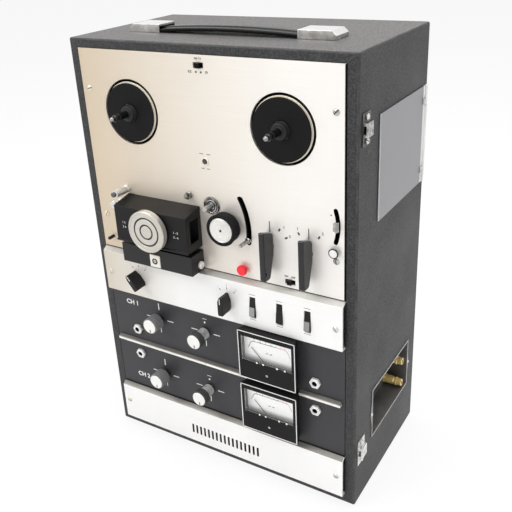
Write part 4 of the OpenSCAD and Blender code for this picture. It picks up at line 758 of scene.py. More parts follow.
class BuildDeck(bpy.types.Operator):
    """Brushed deck plate with its screws, lamp and printed marks"""

    bl_idname = "recorder.build_deck"
    bl_label = "Deck plate"

    def execute(self, context):
        low, high = span("deck_plate")
        front = low.y
        sheet = solid("deck_plate")
        arm_low, arm_high = span("shut_off_arm")
        tab_low, tab_high = span("pause_lever")
        arm_slot = (arm_high.x - 18, arm_high.x + 5, arm_low.z - 5, arm_low.z + 64)
        tab_slot = (tab_high.x - 14, tab_high.x + 4, tab_low.z - 13, tab_high.z + 13)

        def at_slot(edge, *zones):
            return any(all(a < v.co.x < b and c < v.co.z < d for v in edge.verts) for a, b, c, d in zones)

        def slot_front(edge):
            return at_slot(edge, arm_slot) and all(v.co.y < front + 0.01 for v in edge.verts)

        # The shut-off slot's wide front rim and the walls of both slots are painted dark: painted shade in the slots
        for face in soften(sheet, 0.9, where=slot_front):
            face.material_index = 1
        soften(sheet, 0.25, where=lambda e: not at_slot(e, arm_slot, tab_slot))
        paint(sheet, 1, lambda f, c: abs(f.normal.y) < 0.5 and all(at_slot(e, arm_slot, tab_slot) for e in f.edges))
        # The deck's right edge is painted dark: painted shadow of the gap beside the cabinet
        paint(sheet, 1, lambda f, c: c.x > high.x - 0.3)
        piece("deck_sheet", "base", "deck_alloy", (sheet, "deck", "mat"), stands_for=["deck_plate"])

        heads, left_heads, pale = [], [], []
        for k, (at_low, at_high, mid) in enumerate(islands("panel_screws")):
            if at_high.y - at_low.y > 6:
                thumb, back, tip = mid, at_low.x, at_high.x
                continue
            # Screws far to the left take the cream rim finish, darker and warmer than the rest
            group = left_heads if mid.x < -100 else heads if mid.z > low.z else pale
            r = (at_high.z - at_low.z) / 2
            group.append(screw((mid.x, at_low.y + 1.4, mid.z), r, 1.4, "front", 15 + 50 * k))
        grip = fluted(4.5, 0.3, 16, back + 0.4, tip - 0.6, thumb, "X")
        face = turned([(0, -0.3), (2, 0), (3.6, -0.2), (4, -0.9), (0, -0.9)], thumb, "X", 32, tip)
        piece("panel_fasteners", "base", "nickel", (heads, "nickel", "ink"), (left_heads, "rim", "grey_ink"),
              (pale, "bright_nickel", "grey_ink"), ([grip, face], "knob_cap"), stands_for=["panel_screws"])

        at_low, at_high, lamp, r = measure("pilot_lamp")
        rim, deep = front + 0.02 - at_low.y, at_high.y - at_low.y
        ring = turned([(r - 1.3, 0.5), (r - 1, 0), (r - 0.5, 0), (r, 0.6), (r, rim), (r - 1.3, rim)], lamp, "Y", 36,
                      at_low.y, loop=True)
        lens = turned([(0, 0.4), (1.6, 0.6), (r - 1.2, 1.2), (r - 1.2, deep), (0, deep)], lamp, "Y", 32, at_low.y)
        piece("lamp", "base", "lamp_lens", (lens, "lens"), (ring, "ivory"), stands_for=["pilot_lamp"])

        marks = []
        for node, ways in (("play_lever", (0, 30, 58)), ("wind_lever", (-30, 0, 30))):
            at = centre(node)
            at.z = span(node)[1].z - LEVER_PIVOT
            marks += [spoke(at, way, *((21, 24.5, front, 1.9) if way else (15.5, 27.5, front, 1.05))) for way in ways]
        speed, auto, start = centre("speed_slider"), centre("shut_off_slider"), centre("start_button")
        for side in (-1, 1):
            marks.append(dot(speed.x + side * 3, speed.z - 6.8, 1.1, front))
            for inner, outer, up in ((2, 7, 8), (1.6, 5.5, -8)):
                z = lamp.z + up
                marks.append(stroke((lamp.x + side * inner, z), (lamp.x + side * outer, z), front, 0.6))
        # A dark line along the deck's lower edge: painted shadow of the gap above the control strip
        marks.append(stroke((low.x + 1, low.z + 0.75), (high.x - 1, low.z + 0.75), front, 1.2))
        marks.append(dot(start.x - 4, start.z + 39, 0.8, front))
        play, wind, top = centre("play_lever").x, centre("wind_lever").x, span("play_lever")[1].z
        for words, x, z, size, bold in (
                ("9.5", speed.x - 10.5, speed.z - 6.8, 2.6, 0.1), ("19", speed.x + 9.5, speed.z - 6.8, 2.6, 0.1),
                ("cm / s", speed.x, speed.z + 7, 2.4, 0.1), ("ON", auto.x - 4.4, auto.z + 6.2, 2, 0.08),
                ("OFF", auto.x + 4, auto.z + 6.2, 2, 0.08), ("1", play + 17, top + 1.5, 2.8, 0.1),
                ("2", play + 23.5, top - 7.6, 2.8, 0.1), ("1", wind - 12.5, top + 3, 2.8, 0.1),
                ("2", wind + 15.5, top + 2.5, 2.8, 0.1)):
            marks.append(lettering(words, x, z, size, front, bold))
        # A dark line down the deck's right edge: painted shadow of the gap beside the cabinet
        edge = stroke((high.x - 0.6, low.z + 0.3), (high.x - 0.6, high.z - 0.3), front, 0.7)
        piece("deck_marks", "base", "black_paint", (marks, "ink"), (edge, "mat"))
        return {"FINISHED"}


class BuildReels(bpy.types.Operator):
    """Reel turntables with ridged mats, hubs and ribbed spindles"""

    bl_idname = "recorder.build_reels"
    bl_label = "Reel turntables"

    def execute(self, context):
        for side in ("supply", "takeup"):
            body = side + "_reel"
            low, high, mid, r = measure(side + "_turntable")
            mat_low, mat_high = span(side + "_mat")
            mat_r, hub_r, rod = r - 1.2, HUB_RADIUS, SPINDLE_RADIUS
            seat, tip = mat_high.y, low.y
            drum = high.y - seat
            disc = turned([(0, 0), (mat_r - 0.3, 0), (mat_r - 0.2, 1.2), (r - 0.6, 1.2), (r, 1.8), (r, 7.7),
                           (r - 0.8, 8.5), (5, 8.5), (5, drum - 9.7), (14, drum - 9.7), (14, drum), (0, drum)],
                          mid, "Y", 96, seat)
            paint(disc, 1, lambda f, c: c.y > seat + 1.9)
            hub = turned([(0, -7.5), (4.5, -7.5), (5, -6.7), (7.6, -6.7), (8.4, -6.1), (hub_r - 0.6, -2.8),
                          (hub_r, -2.2), (hub_r, 0.8), (0, 0.8)], mid, "Y", 48, seat)
            foot = seat - 7.1 - tip
            spindle = turned([(0, 4), (2.6, 4), (2.9, 5), (rod, 6.4), (rod, 10), (3.2, 10.6), (3.2, 11.8), (rod, 12.4),
                              (rod, foot), (0, foot)], mid, "Y", 72, tip)
            axis = Vector((mid.x, 0, mid.z))
            grooves = []
            for f in spindle.faces:
                out = f.calc_center_median() - axis
                bearing = math.degrees(math.atan2(out.z, out.x)) % 120
                flat = abs(f.normal.y) < 0.1 and math.hypot(out.x, out.z) > 3.8
                if flat and min(bearing, 120 - bearing) < 10.5:
                    grooves.append(f)
            for v in drawn_out(spindle, grooves)[0]:
                v.co -= Vector((v.co.x - mid.x, 0, v.co.z - mid.z)).normalized() * 0.8
            bmesh.ops.delete(spindle, geom=grooves, context="FACES")
            nose = turned([(0, 0), (1.4, 0.2), (2.2, 1), (2.4, 2.4), (2.4, 4.2), (0, 4.2)], mid, "Y", 28, tip)
            paint(nose, 1, lambda f, c: c.y > tip + 2)
            piece(side + "_disc", body, "champagne", (disc, "rim", "chassis"), (hub, "hub"), (spindle, "spindle"),
                  (nose, "rocker_grey", "spindle"), stands_for=[side + "_turntable"])
            deep = mat_high.y - mat_low.y
            line = [(hub_r + 0.2, deep), (hub_r + 0.2, 0.3), (hub_r + 0.6, 0)]
            for ring in range(4):
                start = hub_r + 3 + ring * 4.4
                line += [(start, 0), (start + 0.4, 0.1), (start + 1, 0.1), (start + 1.4, 0)]
            line += [(mat_r - 0.5, 0), (mat_r, 0.5), (mat_r, deep)]
            cushion = turned(line, mid, "Y", 96, mat_low.y, loop=True)
            piece(side + "_cushion", body, "rubber", (cushion, "mat"), stands_for=[side + "_mat"])
        return {"FINISHED"}


class BuildDrive(bpy.types.Operator):
    """Chassis, motor, belt, flywheel with the capstan, pinch roller and the shut-off arm"""

    bl_idname = "recorder.build_drive"
    bl_label = "Tape drive"

    def execute(self, context):
        low, high, at, r = measure("capstan_flywheel")
        front = span("deck_plate")[0].y
        # The chassis takes a near-black finish so that the deck's slots read dark: painted shade
        chassis = softened("deck_chassis", 0.25)
        paint(chassis, 1, lambda f, c: math.hypot(c.x - at.x, c.z - at.z) < 8 and c.y < 1)
        piece("chassis", "base", "nickel", (chassis, "chassis", "chrome"), stands_for=["deck_chassis"])
        # The collar takes the dark chrome, painted reflection, and a thin ink ring stands for the flange's shadow:
        # painted shadow
        collar = turned([(7.5, -1.6), (8, -2), (9.4, -2), (10, -1.4), (10, 0.02), (7.5, 0.02)], at, "Y", 44, front,
                        loop=True)
        groove = turned([(4.2, -2.15), (5.8, -2.15), (5.8, -1.9), (4.2, -1.9)], at, "Y", 36, front, loop=True)
        piece("capstan_collar", "base", "chrome", (collar, "dark_chrome"), (groove, "ink"))

        tip = low.y - high.y
        wheel = turned([(0, tip), (2.2, tip), (3, tip + 0.8), (3, -12), (10, -12), (11, -11), (r - 9, -11),
                        (r - 8, -12), (r - 0.6, -12), (r, -11.4), (r, -0.6), (r - 0.6, 0), (0, 0)], at, "Y", 72, high.y)
        paint(wheel, 1, lambda f, c: c.y < 0)
        piece("capstan_and_flywheel", "capstan", "nickel", (wheel, "steel", "chrome"), stands_for=["capstan_flywheel"])

        low, high, mid, r = measure("motor_pulley")
        deep = high.y - low.y
        pulley = turned([(0, 0), (r - 0.5, 0), (r, 0.5), (r, 2.6), (r - 0.3, 3.2), (r - 0.3, 8.8), (r, 9.4), (r, 11.5),
                         (r - 0.5, 12), (3, 12), (3, deep), (0, deep)], mid, "Y", 40, low.y)
        piece("belt_pulley", "pulley", "gold", (pulley, "brass"), stands_for=["motor_pulley"])
        covered("motor", "base", "iron", "drive_motor", 0.8, "motor")
        covered("belt", "base", "rubber", "drive_belt", 0.25, "rubber")
        covered("pinch_link", "pinch_arm", "nickel", "pinch_arm", 0.25, "steel")

        low, high, mid, r = measure("pinch_roller")
        lip, deep = r + 1, high.y - low.y
        tyre = turned([(14.5, 1.4), (14.8, 0.7), (lip - 1.5, 0.2), (lip - 0.4, 0.8), (lip, 1.7), (lip - 0.3, 2.8),
                       (r, 3.8), (r, deep - 2), (r - 1.2, deep - 0.3), (10, deep), (6, deep), (6, deep - 2),
                       (3.06, deep - 2), (3.06, 2.2), (14.5, 2.2)], mid, "Y", 72, low.y, loop=True)
        cap = turned([(0, 0.55), (1.6, 0.55), (2.4, 0.35), (6, 0.2), (6.3, 0.4), (6.7, 0.4), (7, 0.16), (11.6, 0.05),
                      (11.9, 0.4), (12.3, 0.4), (12.6, 0.16), (13.2, 0.3), (14, 0.9), (14.3, 2), (0, 2)], mid, "Y", 64,
                     low.y)
        pin = turned([(0, -0.05), (1.1, 0), (1.4, 0.5), (1.4, 0.9), (0, 0.9)], mid, "Y", 20, low.y)
        piece("pinch_tyre", "pinch_roller", "rubber", (tyre, "rubber"), (cap, "spun_cap"), (pin, "ink"),
              stands_for=["pinch_roller"])

        top = span("shut_off_arm")[0].y
        arm = softened("shut_off_arm", 0.25)
        post = [v.co for v in arm.verts if v.co.y < top + 2]
        reach = top - front
        sleeve = turned([(1.5, reach + 2), (2, reach + 1.8), (2.1, reach + 2.4), (2.1, -4), (3.2, -3.4), (3.4, -2.6),
                         (3.2, -1), (1.5, -1)], sum(post, Vector()) / len(post), "Y", 28, front, loop=True)
        piece("shut_off_post", "shut_off_arm", "nickel", (arm, "chrome"), (sleeve, "nickel"),
              stands_for=["shut_off_arm"])
        return {"FINISHED"}


# Profiles of the tape guides from left to right, along from the cabinet's front edge
GUIDES = (
    [(0, -10), (1.4, -10), (2, -9.2), (2, -1), (0, -1)],
    [(0, -16), (4, -16), (4.5, -15.4), (4.5, -13), (4, -12.5), (2.5, -12.2), (2.5, -3), (4.2, -2.6), (4.2, -1),
     (0, -1)],
    [(0, -26.5), (2.4, -26.5), (3, -25.9), (3, -23.5), (4.6, -23), (4.6, -7), (3.9, -6.5), (3.9, -4.5), (4.6, -4),
     (4.6, -1), (0, -1)],
    [(0, -9), (1.8, -9), (2.25, -8.4), (2.25, -5.6), (4, -5.4), (4, -4), (3.2, -3.6), (3.2, -2.4), (4, -2), (4, -1),
     (0, -1)],
)


class BuildHeads(bpy.types.Operator):
    """Tape heads, head block, guides and the removable cover with its ringed emblem"""

    bl_idname = "recorder.build_heads"
    bl_label = "Heads"

    def execute(self, context):
        shells, gaps = [], []
        for low, high, mid in islands("tape_heads"):
            nose = low.y
            outline = [(low.x, high.y), (low.x, nose + 2), (low.x + 4, nose), (high.x - 4, nose), (high.x, nose + 2),
                       (high.x, high.y)]
            shells.append(plate(rounded(outline, 2.5, 4), low.z, high.z, "Z", 0.4))
            gaps.append(block((mid.x - 0.3, nose - 0.06, low.z + 2), (mid.x + 0.3, nose + 0.5, high.z - 2)))
        piece("head_stack", "base", "head_metal", (shells, "nickel"), (gaps, "ink"), stands_for=["tape_heads"])

        face = span("head_base")[0].y
        base = paint(softened("head_base", 0.5), 1, lambda f, c: c.y < face + 0.7)
        points = [v.co for v in base.verts if v.co.y < face + 0.05]
        mid = sum(points, Vector()) / len(points)
        ring = [arc(mid.x, mid.z, 2.8, 352, face, 2, 36), dot(mid.x, mid.z, 0.9, face)]
        piece("head_block", "base", "black_paint", (base, "hub", "ivory"), (ring, "ink"), stands_for=["head_base"])

        tips = span("deck_plate")[0].y - 23.5
        posts = [paint(turned(profile, box[2], steps=36), 1, lambda f, c: c.y < tips)
                 for box, profile in zip(islands("tape_guides"), GUIDES)]
        # The rightmost guide post takes the dark chrome: painted reflection
        piece("guides", "base", "chrome", (posts[1:3], "bright_nickel", "latch_plate"), (posts[3], "dark_chrome"),
              (posts[0], "black_plastic"), stands_for=["tape_guides"])

        low, high, mid, r = measure("head_badge")
        face = span("head_cover")[0].y + 1.5
        figures = [lettering(words, mid.x + across, mid.z + up, 2.6, face) for words, across, up in (
            ("1 2", -37.5, 2.6), ("3 4", -37.5, -3), ("1 - 2", 35, 2.6), ("3 - 4", 35, -3))]
        shell = softened("head_cover", edge_width("cover_edge"), 3)
        piece("cover_shell", "head_cover", "black_paint", (shell, "cover"), (figures, "white_ink"),
              stands_for=["head_cover"])

        deep = high.y - low.y
        disc = turned([(0, 0.9), (7, 0.9), (7.3, 1.2), (9.2, 1.2), (9.5, 0.9), (15, 0.9), (15.3, 1.2), (17.2, 1.2),
                       (17.5, 0.9), (r - 2.6, 0.9), (r - 2, 0.1), (r - 0.9, 0), (r, 0.9), (r, deep - 1.6),
                       (r - 0.5, deep - 1.5), (r - 7, deep - 1.5), (r - 7, deep), (0, deep)], mid, "Y", 96, low.y)

        def in_groove(f, c):
            out = math.hypot(c.x - mid.x, c.z - mid.z)
            return f.normal.y < -0.2 and (7.2 < out < 9.3 or 15.2 < out < 17.3)

        paint(disc, 1, in_groove)
        piece("round_emblem", "head_cover", "champagne", (disc, "emblem", "emblem_ring"), stands_for=["head_badge"])
        return {"FINISHED"}


class BuildDeckControls(bpy.types.Operator):
    """Finger levers, pause lever, buttons and slide switches of the deck"""

    bl_idname = "recorder.build_deck_controls"
    bl_label = "Deck controls"

    def execute(self, context):
        front = span("deck_plate")[0].y
        for node in ("play_lever", "wind_lever"):
            low, high, mid, _ = measure(node)
            x, nose, seat = mid.x, low.y, front - 0.3
            pivot = high.z - LEVER_PIVOT
            outline = [(seat, pivot - 8), (nose + 11, low.z), (nose, low.z), (nose, high.z), (seat, high.z - 7)]
            grip = plate(rounded(outline, 3.4, 5, loop=True), x - 4.3, x + 4.3, "X")
            for v in grip.verts:
                v.co.x = x + (v.co.x - x) * (1 - 0.24 * (seat - v.co.y) / (seat - nose))
            soften(grip, edge_width("lever_edge"), 4)
            top = seat - 3 - high.y
            shaft = turned([(0, top), (4, top), (4, -3.7), (7, -3.7), (7, 0), (0, 0)], (x, 0, pivot), "Y", 36, high.y)
            piece(node + "_grip", node, "gloss_black", (grip, "lever"), (shaft, "steel"), stands_for=[node])

        low, high, mid, _ = measure("pause_lever")
        tab = solid("pause_lever")
        for v in tab.verts:
            if v.co.y < front - 1 and v.co.z > mid.z:
                v.co.z += TAB_RISE
        soften(tab, 0.3, where=lambda e: all(v.co.y < front - 1 for v in e.verts))
        # The tab's sides and its ridges take the dark chrome: painted reflection and shade
        paint(tab, 1, lambda f, c: c.y < front - 1 and f.normal.y > -0.5)
        ridges = [block((high.x - 6.6, low.y - 0.3, z - 0.3), (high.x - 2.2, low.y + 0.6, z + 0.3), 0.15)
                  for z in (mid.z + TAB_RISE / 2 + k * 1.3 for k in range(-3, 4))]
        piece("pause_tab", "pause_lever", "chrome", (tab, "chrome", "dark_chrome"), (ridges, "dark_chrome"),
              stands_for=["pause_lever"])

        cap = BUTTON_BACK
        for node, slot, title in (("start_button", "chrome", "hinge_leaf"), ("record_button", "red_plastic", "button")):
            low, high, mid, r = measure(node)
            tip = low.y
            if node == "start_button":
                r += 0.5
                head = [(0, tip), (2.4, tip), (2.9, tip + 0.5), (2.9, cap - 1.4), (r - 1.3, cap - 1.3),
                        (r - 0.4, cap - 1.2), (r, cap - 0.8)]
            else:
                head = [(0, tip + 0.3), (r * 0.6, tip + 0.12), (r * 0.8, tip), (r - 0.4, tip + 0.4), (r, tip + 1.2)]
            stem = [(r, cap - 0.3), (r - 0.3, cap), (3, cap), (3, high.y), (0, high.y)]
            form = turned(head + stem, mid, steps=44)
            if node == "start_button":
                # Flange and sides take the dark chrome, painted reflection, and an ink ring on the flange's rim is
                # painted shade
                paint(form, 1, lambda f, c: f.normal.y > -0.6 or c.y > tip + 1)
                paint(form, 2, lambda f, c: c.y > cap - 1.5 and math.hypot(c.x - mid.x, c.z - mid.z) > r - 1.3)
            piece(node + "_cap", node, slot, (form, title, "dark_chrome", "ink"), stands_for=[node])

        for node in ("speed_slider", "shut_off_slider"):
            low, high, mid, _ = measure(node)
            outline = [(mid.x - 2.5, high.y - 1), (mid.x - 2.5, low.y)]
            for x in (mid.x - 1.9 + k * 1.4 for k in range(3)):
                outline += [(x, low.y), (x + 0.2, low.y + 0.7), (x + 0.7, low.y + 0.7), (x + 0.9, low.y)]
            outline += [(mid.x + 2.5, low.y), (mid.x + 2.5, high.y - 1)]
            foot = block((low.x, high.y - 1.7, low.z), high, 0.2)
            piece(node + "_tab", node, "black_plastic", ([plate(outline, low.z, high.z, "Z"), foot], "spindle"),
                  stands_for=[node])
        return {"FINISHED"}


def bevelled(bm):
    """Paints a folded panel's sloped top edge with its second finish, darker than the panel: painted shade."""
    return paint(bm, 1, lambda f, c: f.normal.z > 0.35 and f.normal.y < -0.35 and f.calc_area() > 300)


class BuildControlStrip(bpy.types.Operator):
    """Control strip with bar knobs and rocker switches"""

    bl_idname = "recorder.build_control_strip"
    bl_label = "Control strip"

    def execute(self, context):
        strip = bevelled(softened("control_strip", 0.35))
        piece("strip_sheet", "base", "deck_alloy", (strip, "strip", "bevel"), stands_for=["control_strip"])
        covered("switch_works", "base", "black_plastic", "switch_bodies", 0.2, "black_plastic")

        face = span("control_strip")[0].y
        marks = []
        for node, turn in (("source_knob", -BAR_STOP), ("mode_knob", 0)):
            low, _, at, _ = measure(node)
            at.z = centre("rocker_left").z
            knob = softened(node, 0.7, 2, 25, lambda e: all(v.co.y < face - 0.6 for v in e.verts))
            for v in knob.verts:
                if v.co.y < low.y + 1.5:
                    v.co.y -= BAR_RISE
            paint(knob, 1, lambda f, c: c.y > face)
            line = swung(spoke(at, 0, 3, 10, low.y - BAR_RISE, 0.9), turn, (at.x, 0, at.z))
            piece(node + "_bar", node, "black_plastic", (knob, "black_plastic", "steel"), (line, "white_ink"),
                  stands_for=[node])
            for way, words in ((-BAR_STOP, "1"), (0, "2"), (BAR_STOP, "3")):
                marks.append(spoke(at, way, 14.5, 17, face, 0.9))
                marks.append(lettering(words, *clock(at.x, at.z, way, 19.6), 1.9, face))

        for node, light in (("rocker_left", True), ("rocker_middle", False), ("rocker_right", True)):
            low, high, mid, _ = measure(node)
            rocker = softened(node, 0.4, 2, 25)
            # The left and right keys' lower front halves take a pale grey: painted reflection on the glossy black
            if light:
                paint(rocker, 1, lambda f, c: f.normal.y < -0.5 and c.z < mid.z - 0.6)
            piece(node + "_key", node, "black_plastic", (rocker, "black_plastic", "rocker_grey"), stands_for=[node])
            marks += [stroke((mid.x - 4, z), (mid.x + 4, z), face, 0.5) for z in (high.z + 4, low.z - 4)]
        piece("strip_marks", "base", "black_paint", (marks, "grey_ink"))
        return {"FINISHED"}


class BuildAmplifierFront(bpy.types.Operator):
    """Amplifier panel with divider bar, lower panel, level knobs, jacks and printed marks"""

    bl_idname = "recorder.build_amplifier_front"
    bl_label = "Amplifier front"

    def execute(self, context):
        covered("amplifier_sheet", "base", "black_paint", "amp_panel", 0.25, "amplifier")
        bar = solid("divider_bar")
        meter = centre("meter_housings").x
        for v in bar.verts:
            if abs(v.co.x - meter) < 45:
                v.co.x -= math.copysign(DIVIDER_GROWTH, v.co.x - meter)
        soften(bar, 0.5)
        # The bar's upper half takes the shaded bevel finish: painted shade above its lit lower half
        ridge = centre("divider_bar").z + 0.4
        cut(bar, (0, 0, ridge), (0, 0, 1))
        paint(bar, 1, lambda f, c: c.z > ridge)
        piece("divider", "base", "champagne", (bar, "divider", "low_bevel"), stands_for=["divider_bar"])
        low, high = span("lower_panel")
        lower = bevelled(softened("lower_panel", 0.35))
        paint(lower, 2, lambda f, c: f.calc_area() < 40 and abs(f.normal.y) < 0.5 and abs(c.x) < 80 and c.y < 0)
        # The lower panel's narrow top edge is painted ink: painted shade in the place of its highlight
        paint(lower, 2, lambda f, c: c.z > high.z - 0.4)
        piece("lower_sheet", "base", "deck_alloy", (lower, "panel", "low_bevel", "ink"), stands_for=["lower_panel"])

        face = span("amp_panel")[0].y
        # A dark line on the amplifier panel just above the lower panel: painted contact shadow
        contact_shadow = stroke((low.x, high.z + 0.9), (high.x, high.z + 0.9), face, 1.8)
        marks = []
        for node in ("mic_knob_upper", "mic_knob_lower", "line_knob_upper", "line_knob_lower"):
            mic = node.startswith("mic")
            low, high, mid, r = measure(node)
            tip = low.y
            end, wide, skin, collar = (16, 6, "knob", "dark_knob") if mic else (10, 7.2, "dark_knob", "collar")
            grip = fluted(r, 0.45, context.scene.recorder_sizes.flutes, tip + 0.4, tip + end, mid)
            cap = turned([(0, 0.2), (7.2, 0.2), (7.6, 0), (8.4, 0), (8.8, 0.4), (8.8, 1), (0, 1)], mid, "Y", 56, tip)
            base, back = face - tip, high.y - tip
            neck = turned([(0, end - 0.4), (wide, end - 0.4), (wide, end + 1.6), (wide - 0.8, end + 1.9),
                           (wide - 0.8, end + 2.5), (wide, end + 2.8), (wide, base - 2.4), (wide - 0.4, base - 2),
                           (3, base - 1.8), (3, back), (0, back)], mid, "Y", 40, tip)
            tick = spoke(mid, 172, 4.2, 8, tip + 0.1, 1.1)
            piece(node + "_grip", node, "knob_grey", (grip, skin), (cap, "knob_cap"), (neck, collar), (tick, "ink"),
                  stands_for=[node])
            marks += [spoke(mid, way, inner, outer, face, 1)
                      for way, inner, outer in ((-90, 11.5, 20.5), (90, 11.5, 20.5), (180, 12, 19.5))]
            if mic:
                marks.append(spoke(mid, 0, 12.5, 21.5, face, 1.3))
            else:
                marks.append(dot(mid.x, mid.z + 13.2, 1.3, face))
                marks.append(stroke((mid.x - 3, mid.z + 18), (mid.x + 3, mid.z + 18), face, 0.6))
        for words, node, across, up in (("CH 1", "mic_knob_upper", -41.5, 13), ("CH 2", "mic_knob_lower", -38, -14.3)):
            at = centre(node)
            marks.append(lettering(words, at.x + across, at.z + up, 6.3, face, 0.22))
        piece("amplifier_marks", "base", "black_paint", (marks, "white_ink"), (contact_shadow, "mat"))

        axes = [mid for _, _, mid in islands("phone_jacks")]
        jacks = softened("phone_jacks", 0.35)
        paint(jacks, 1, lambda f, c: c.y > -2.6 and min(math.hypot(c.x - a.x, c.z - a.z) for a in axes) < 3.4)
        bush = [(3.3, -3.7), (4.3, -3.7), (4.7, -3.3), (4.7, -2.9), (3.3, -2.9)]
        bushes = [turned(bush, at, steps=32, loop=True) for at in axes]
        piece("jack_nuts", "base", "nickel", (jacks, "hinge_leaf", "black_plastic"), (bushes, "hinge_leaf"),
              stands_for=["phone_jacks"])
        return {"FINISHED"}


def lower_windows(form, windows):
    """Moves the lower and upper edges of the meter windows down in a form."""
    for low, high, _ in windows:
        for v in form.verts:
            if min(abs(v.co.x - low.x), abs(v.co.x - high.x)) < 1.5 and v.co.y < -5.9:
                if low.z - 1.5 < v.co.z < low.z + 0.1:
                    v.co.z -= WINDOW_DROP[0]
                elif high.z - 0.1 < v.co.z < high.z + 1.5:
                    v.co.z -= WINDOW_DROP[1]


class BuildMeters(bpy.types.Operator):
    """Two level meters with outline, dial, figures, needle and window"""

    bl_idname = "recorder.build_meters"
    bl_label = "Level meters"

    def execute(self, context):
        boxes, windows = islands("meter_housings"), islands("meter_windows")
        front = span("meter_housings")[0].y
        frames, cards, inks, reds, screws = [], [], [], [], []
        for (low, high, mid), (pane_low, pane_high, _) in zip(boxes, windows):
            x, z = mid.x, mid.z
            w, h = OUTLINE_HALF, (high.z - low.z) / 2 - 0.9
            corners = [Vector((x + a * w, z + b * h)) for a, b in ((-1, -1), (1, -1), (1, 1), (-1, 1))]
            for a, b in zip(corners, corners[1:] + corners[:1]):
                run = (b - a).normalized() * 0.55
                frames.append(stroke(a - run, b + run, front, 1))
            dial = front + DIAL_DEPTH
            card = "card_%d" % len(cards)
            # Each dial darkens towards its lower edge: painted shade under the window's lower rim
            foot, top = (TO_FRAME @ Vector((0, 0, pane_low.z + up)) for up in (-2.5, 4))
            mix_finish(card + "_finish", fade=(CARD_SHADE, top.z, foot.z, "Z"), **FINISHES["dial"])
            cards.append((block((pane_low.x - 0.6, dial - 0.3, pane_low.z - 4),
                                (pane_high.x + 0.6, dial, pane_high.z + 0.6), 0.1), card))
            face, line, dash = dial - 0.32, pane_high.z - 11.4, z - PIVOT_DROP + 19.5
            for points, group, width in ((SCALE_LEFT, inks, 0.65), (SCALE_RIGHT, reds, 0.7)):
                group += [stroke((x + a[0], line + a[1]), (x + b[0], line + b[1]), face, width)
                          for a, b in zip(points, points[1:])]
            for across, words in SCALE_FIGURES:
                group = reds if across > 10 else inks
                group.append(stroke((x + across, line), (x + across, line + 1.6), face, 0.45))
                group.append(lettering(words, x + across, line + 3.6, 1.8, face))
            inks += [stroke((x + side * 4, dash), (x + side, dash), face, 0.8) for side in (-1, 1)]
            screws.append(screw((x, front, z - 20.5), 1.5, 0.6, "front", 70, 0.4))
            # Four white dots under each window: painted highlights on the window's lower lip
            frames += [dot(pane_low.x + (pane_high.x - pane_low.x) * share, pane_low.z - 0.9, 1.2, front)
                       for share in (0.305, 0.435, 0.715, 0.87)]
        housing = solid("meter_housings")
        for v in housing.verts:
            if abs(v.co.y) < 0.01 and abs(v.co.x - x) > 37:
                v.co.x = x + math.copysign(METER_FOOT, v.co.x - x)
        lower_windows(housing, windows)
        soften(housing, 0.4)

        def in_window(c):
            return any(a.x - 1.2 < c.x < b.x + 1.2 and a.z - 2.8 < c.z < b.z + 1.2 for a, b, _ in windows)

        paint(housing, 1, lambda f, c: in_window(c) and min(f.normal.x, f.normal.z) < -0.5)
        paint(housing, 2, lambda f, c: in_window(c) and f.normal.x > 0.5)
        piece("meter_cases", "base", "black_plastic", (housing, "meter_case", "dial", "knob"), (frames, "white_ink"),
              (screws, "nickel", "ink"), stands_for=["meter_housings"])
        piece("meter_dials", "base", "deck_alloy", *cards, (inks, "ink"), (reds, "red_ink"))
        panes = solid("meter_windows")
        lower_windows(panes, windows)
        soften(panes, 0.2)
        piece("meter_panes", "base", "window", (panes, "glass"), stands_for=["meter_windows"])

        for node, (_, _, mid) in zip(("needle_lower", "needle_upper"), boxes):
            low, high = span(node)
            x, pivot, deep = mid.x, mid.z - PIVOT_DROP, high.y - low.y
            rest = math.degrees(math.atan2(low.x - x, high.z - pivot))
            top = pivot + NEEDLE_LENGTH
            blade = plate([(x - 0.45, pivot), (x + 0.45, pivot), (x + 0.22, top), (x - 0.22, top)], low.y + 0.9,
                          low.y + 1.4)
            swung(blade, rest, (x, 0, pivot))
            hub = turned([(0, 0), (2.4, 0), (3, 0.6), (3, 2.2), (1, 2.5), (1, deep), (0, deep)], (x, 0, pivot), "Y", 24,
                         low.y)
            piece(node + "_pointer", node, "needle_paint", ([blade, hub], "needle"), stands_for=[node])
        return {"FINISHED"}


class BuildInside(bpy.types.Operator):
    """Amplifier unit, mains transformer and mains inlet"""

    bl_idname = "recorder.build_inside"
    bl_label = "Inside works"

    def execute(self, context):
        unit = softened("amplifier_unit", 0.25)
        floor = span("amplifier_unit")[0].z + 2.5
        for index, near, far in ((1, -math.inf, 97), (2, 98, 103), (3, 110, math.inf)):
            paint(unit, index, lambda f, c: near < c.y < far and c.z > floor)
        piece("amplifier_works", "base", "circuit", (unit, "steel", "can", "board", "nickel"),
              stands_for=["amplifier_unit"])

        low, _, mid, _ = measure("power_transformer")
        core = softened("power_transformer", 0.6)
        paint(core, 1, lambda f, c: abs(c.y - mid.y) > 16.5 and c.z > low.z + 8)
        piece("mains_transformer", "base", "iron", (core, "iron", "winding"), stands_for=["power_transformer"])

        at = centre("mains_inlet")
        inlet = softened("mains_inlet", 0.3)
        paint(inlet, 1, lambda f, c: min(math.hypot(c.x - at.x - s * 6, c.z - at.z) for s in (-1, 1)) < 1.4)
        piece("mains_socket", "base", "black_plastic", (inlet, "black_plastic", "brass"), stands_for=["mains_inlet"])
        return {"FINISHED"}


# Soft lights: name, place and target in metres, size, and power as a share of the key
LIGHTS = (
    ("key_light", (-1.5, -1.9, 2.0), (0, 0, 0.26), 1.5, 1),
    ("side_light", (2.4, -0.6, 1.3), (0, 0.05, 0.26), 1.6, 0.10),
    ("top_light", (0.1, 0.15, 2.1), (0, 0.05, 0.5), 1.5, 1.15),
)

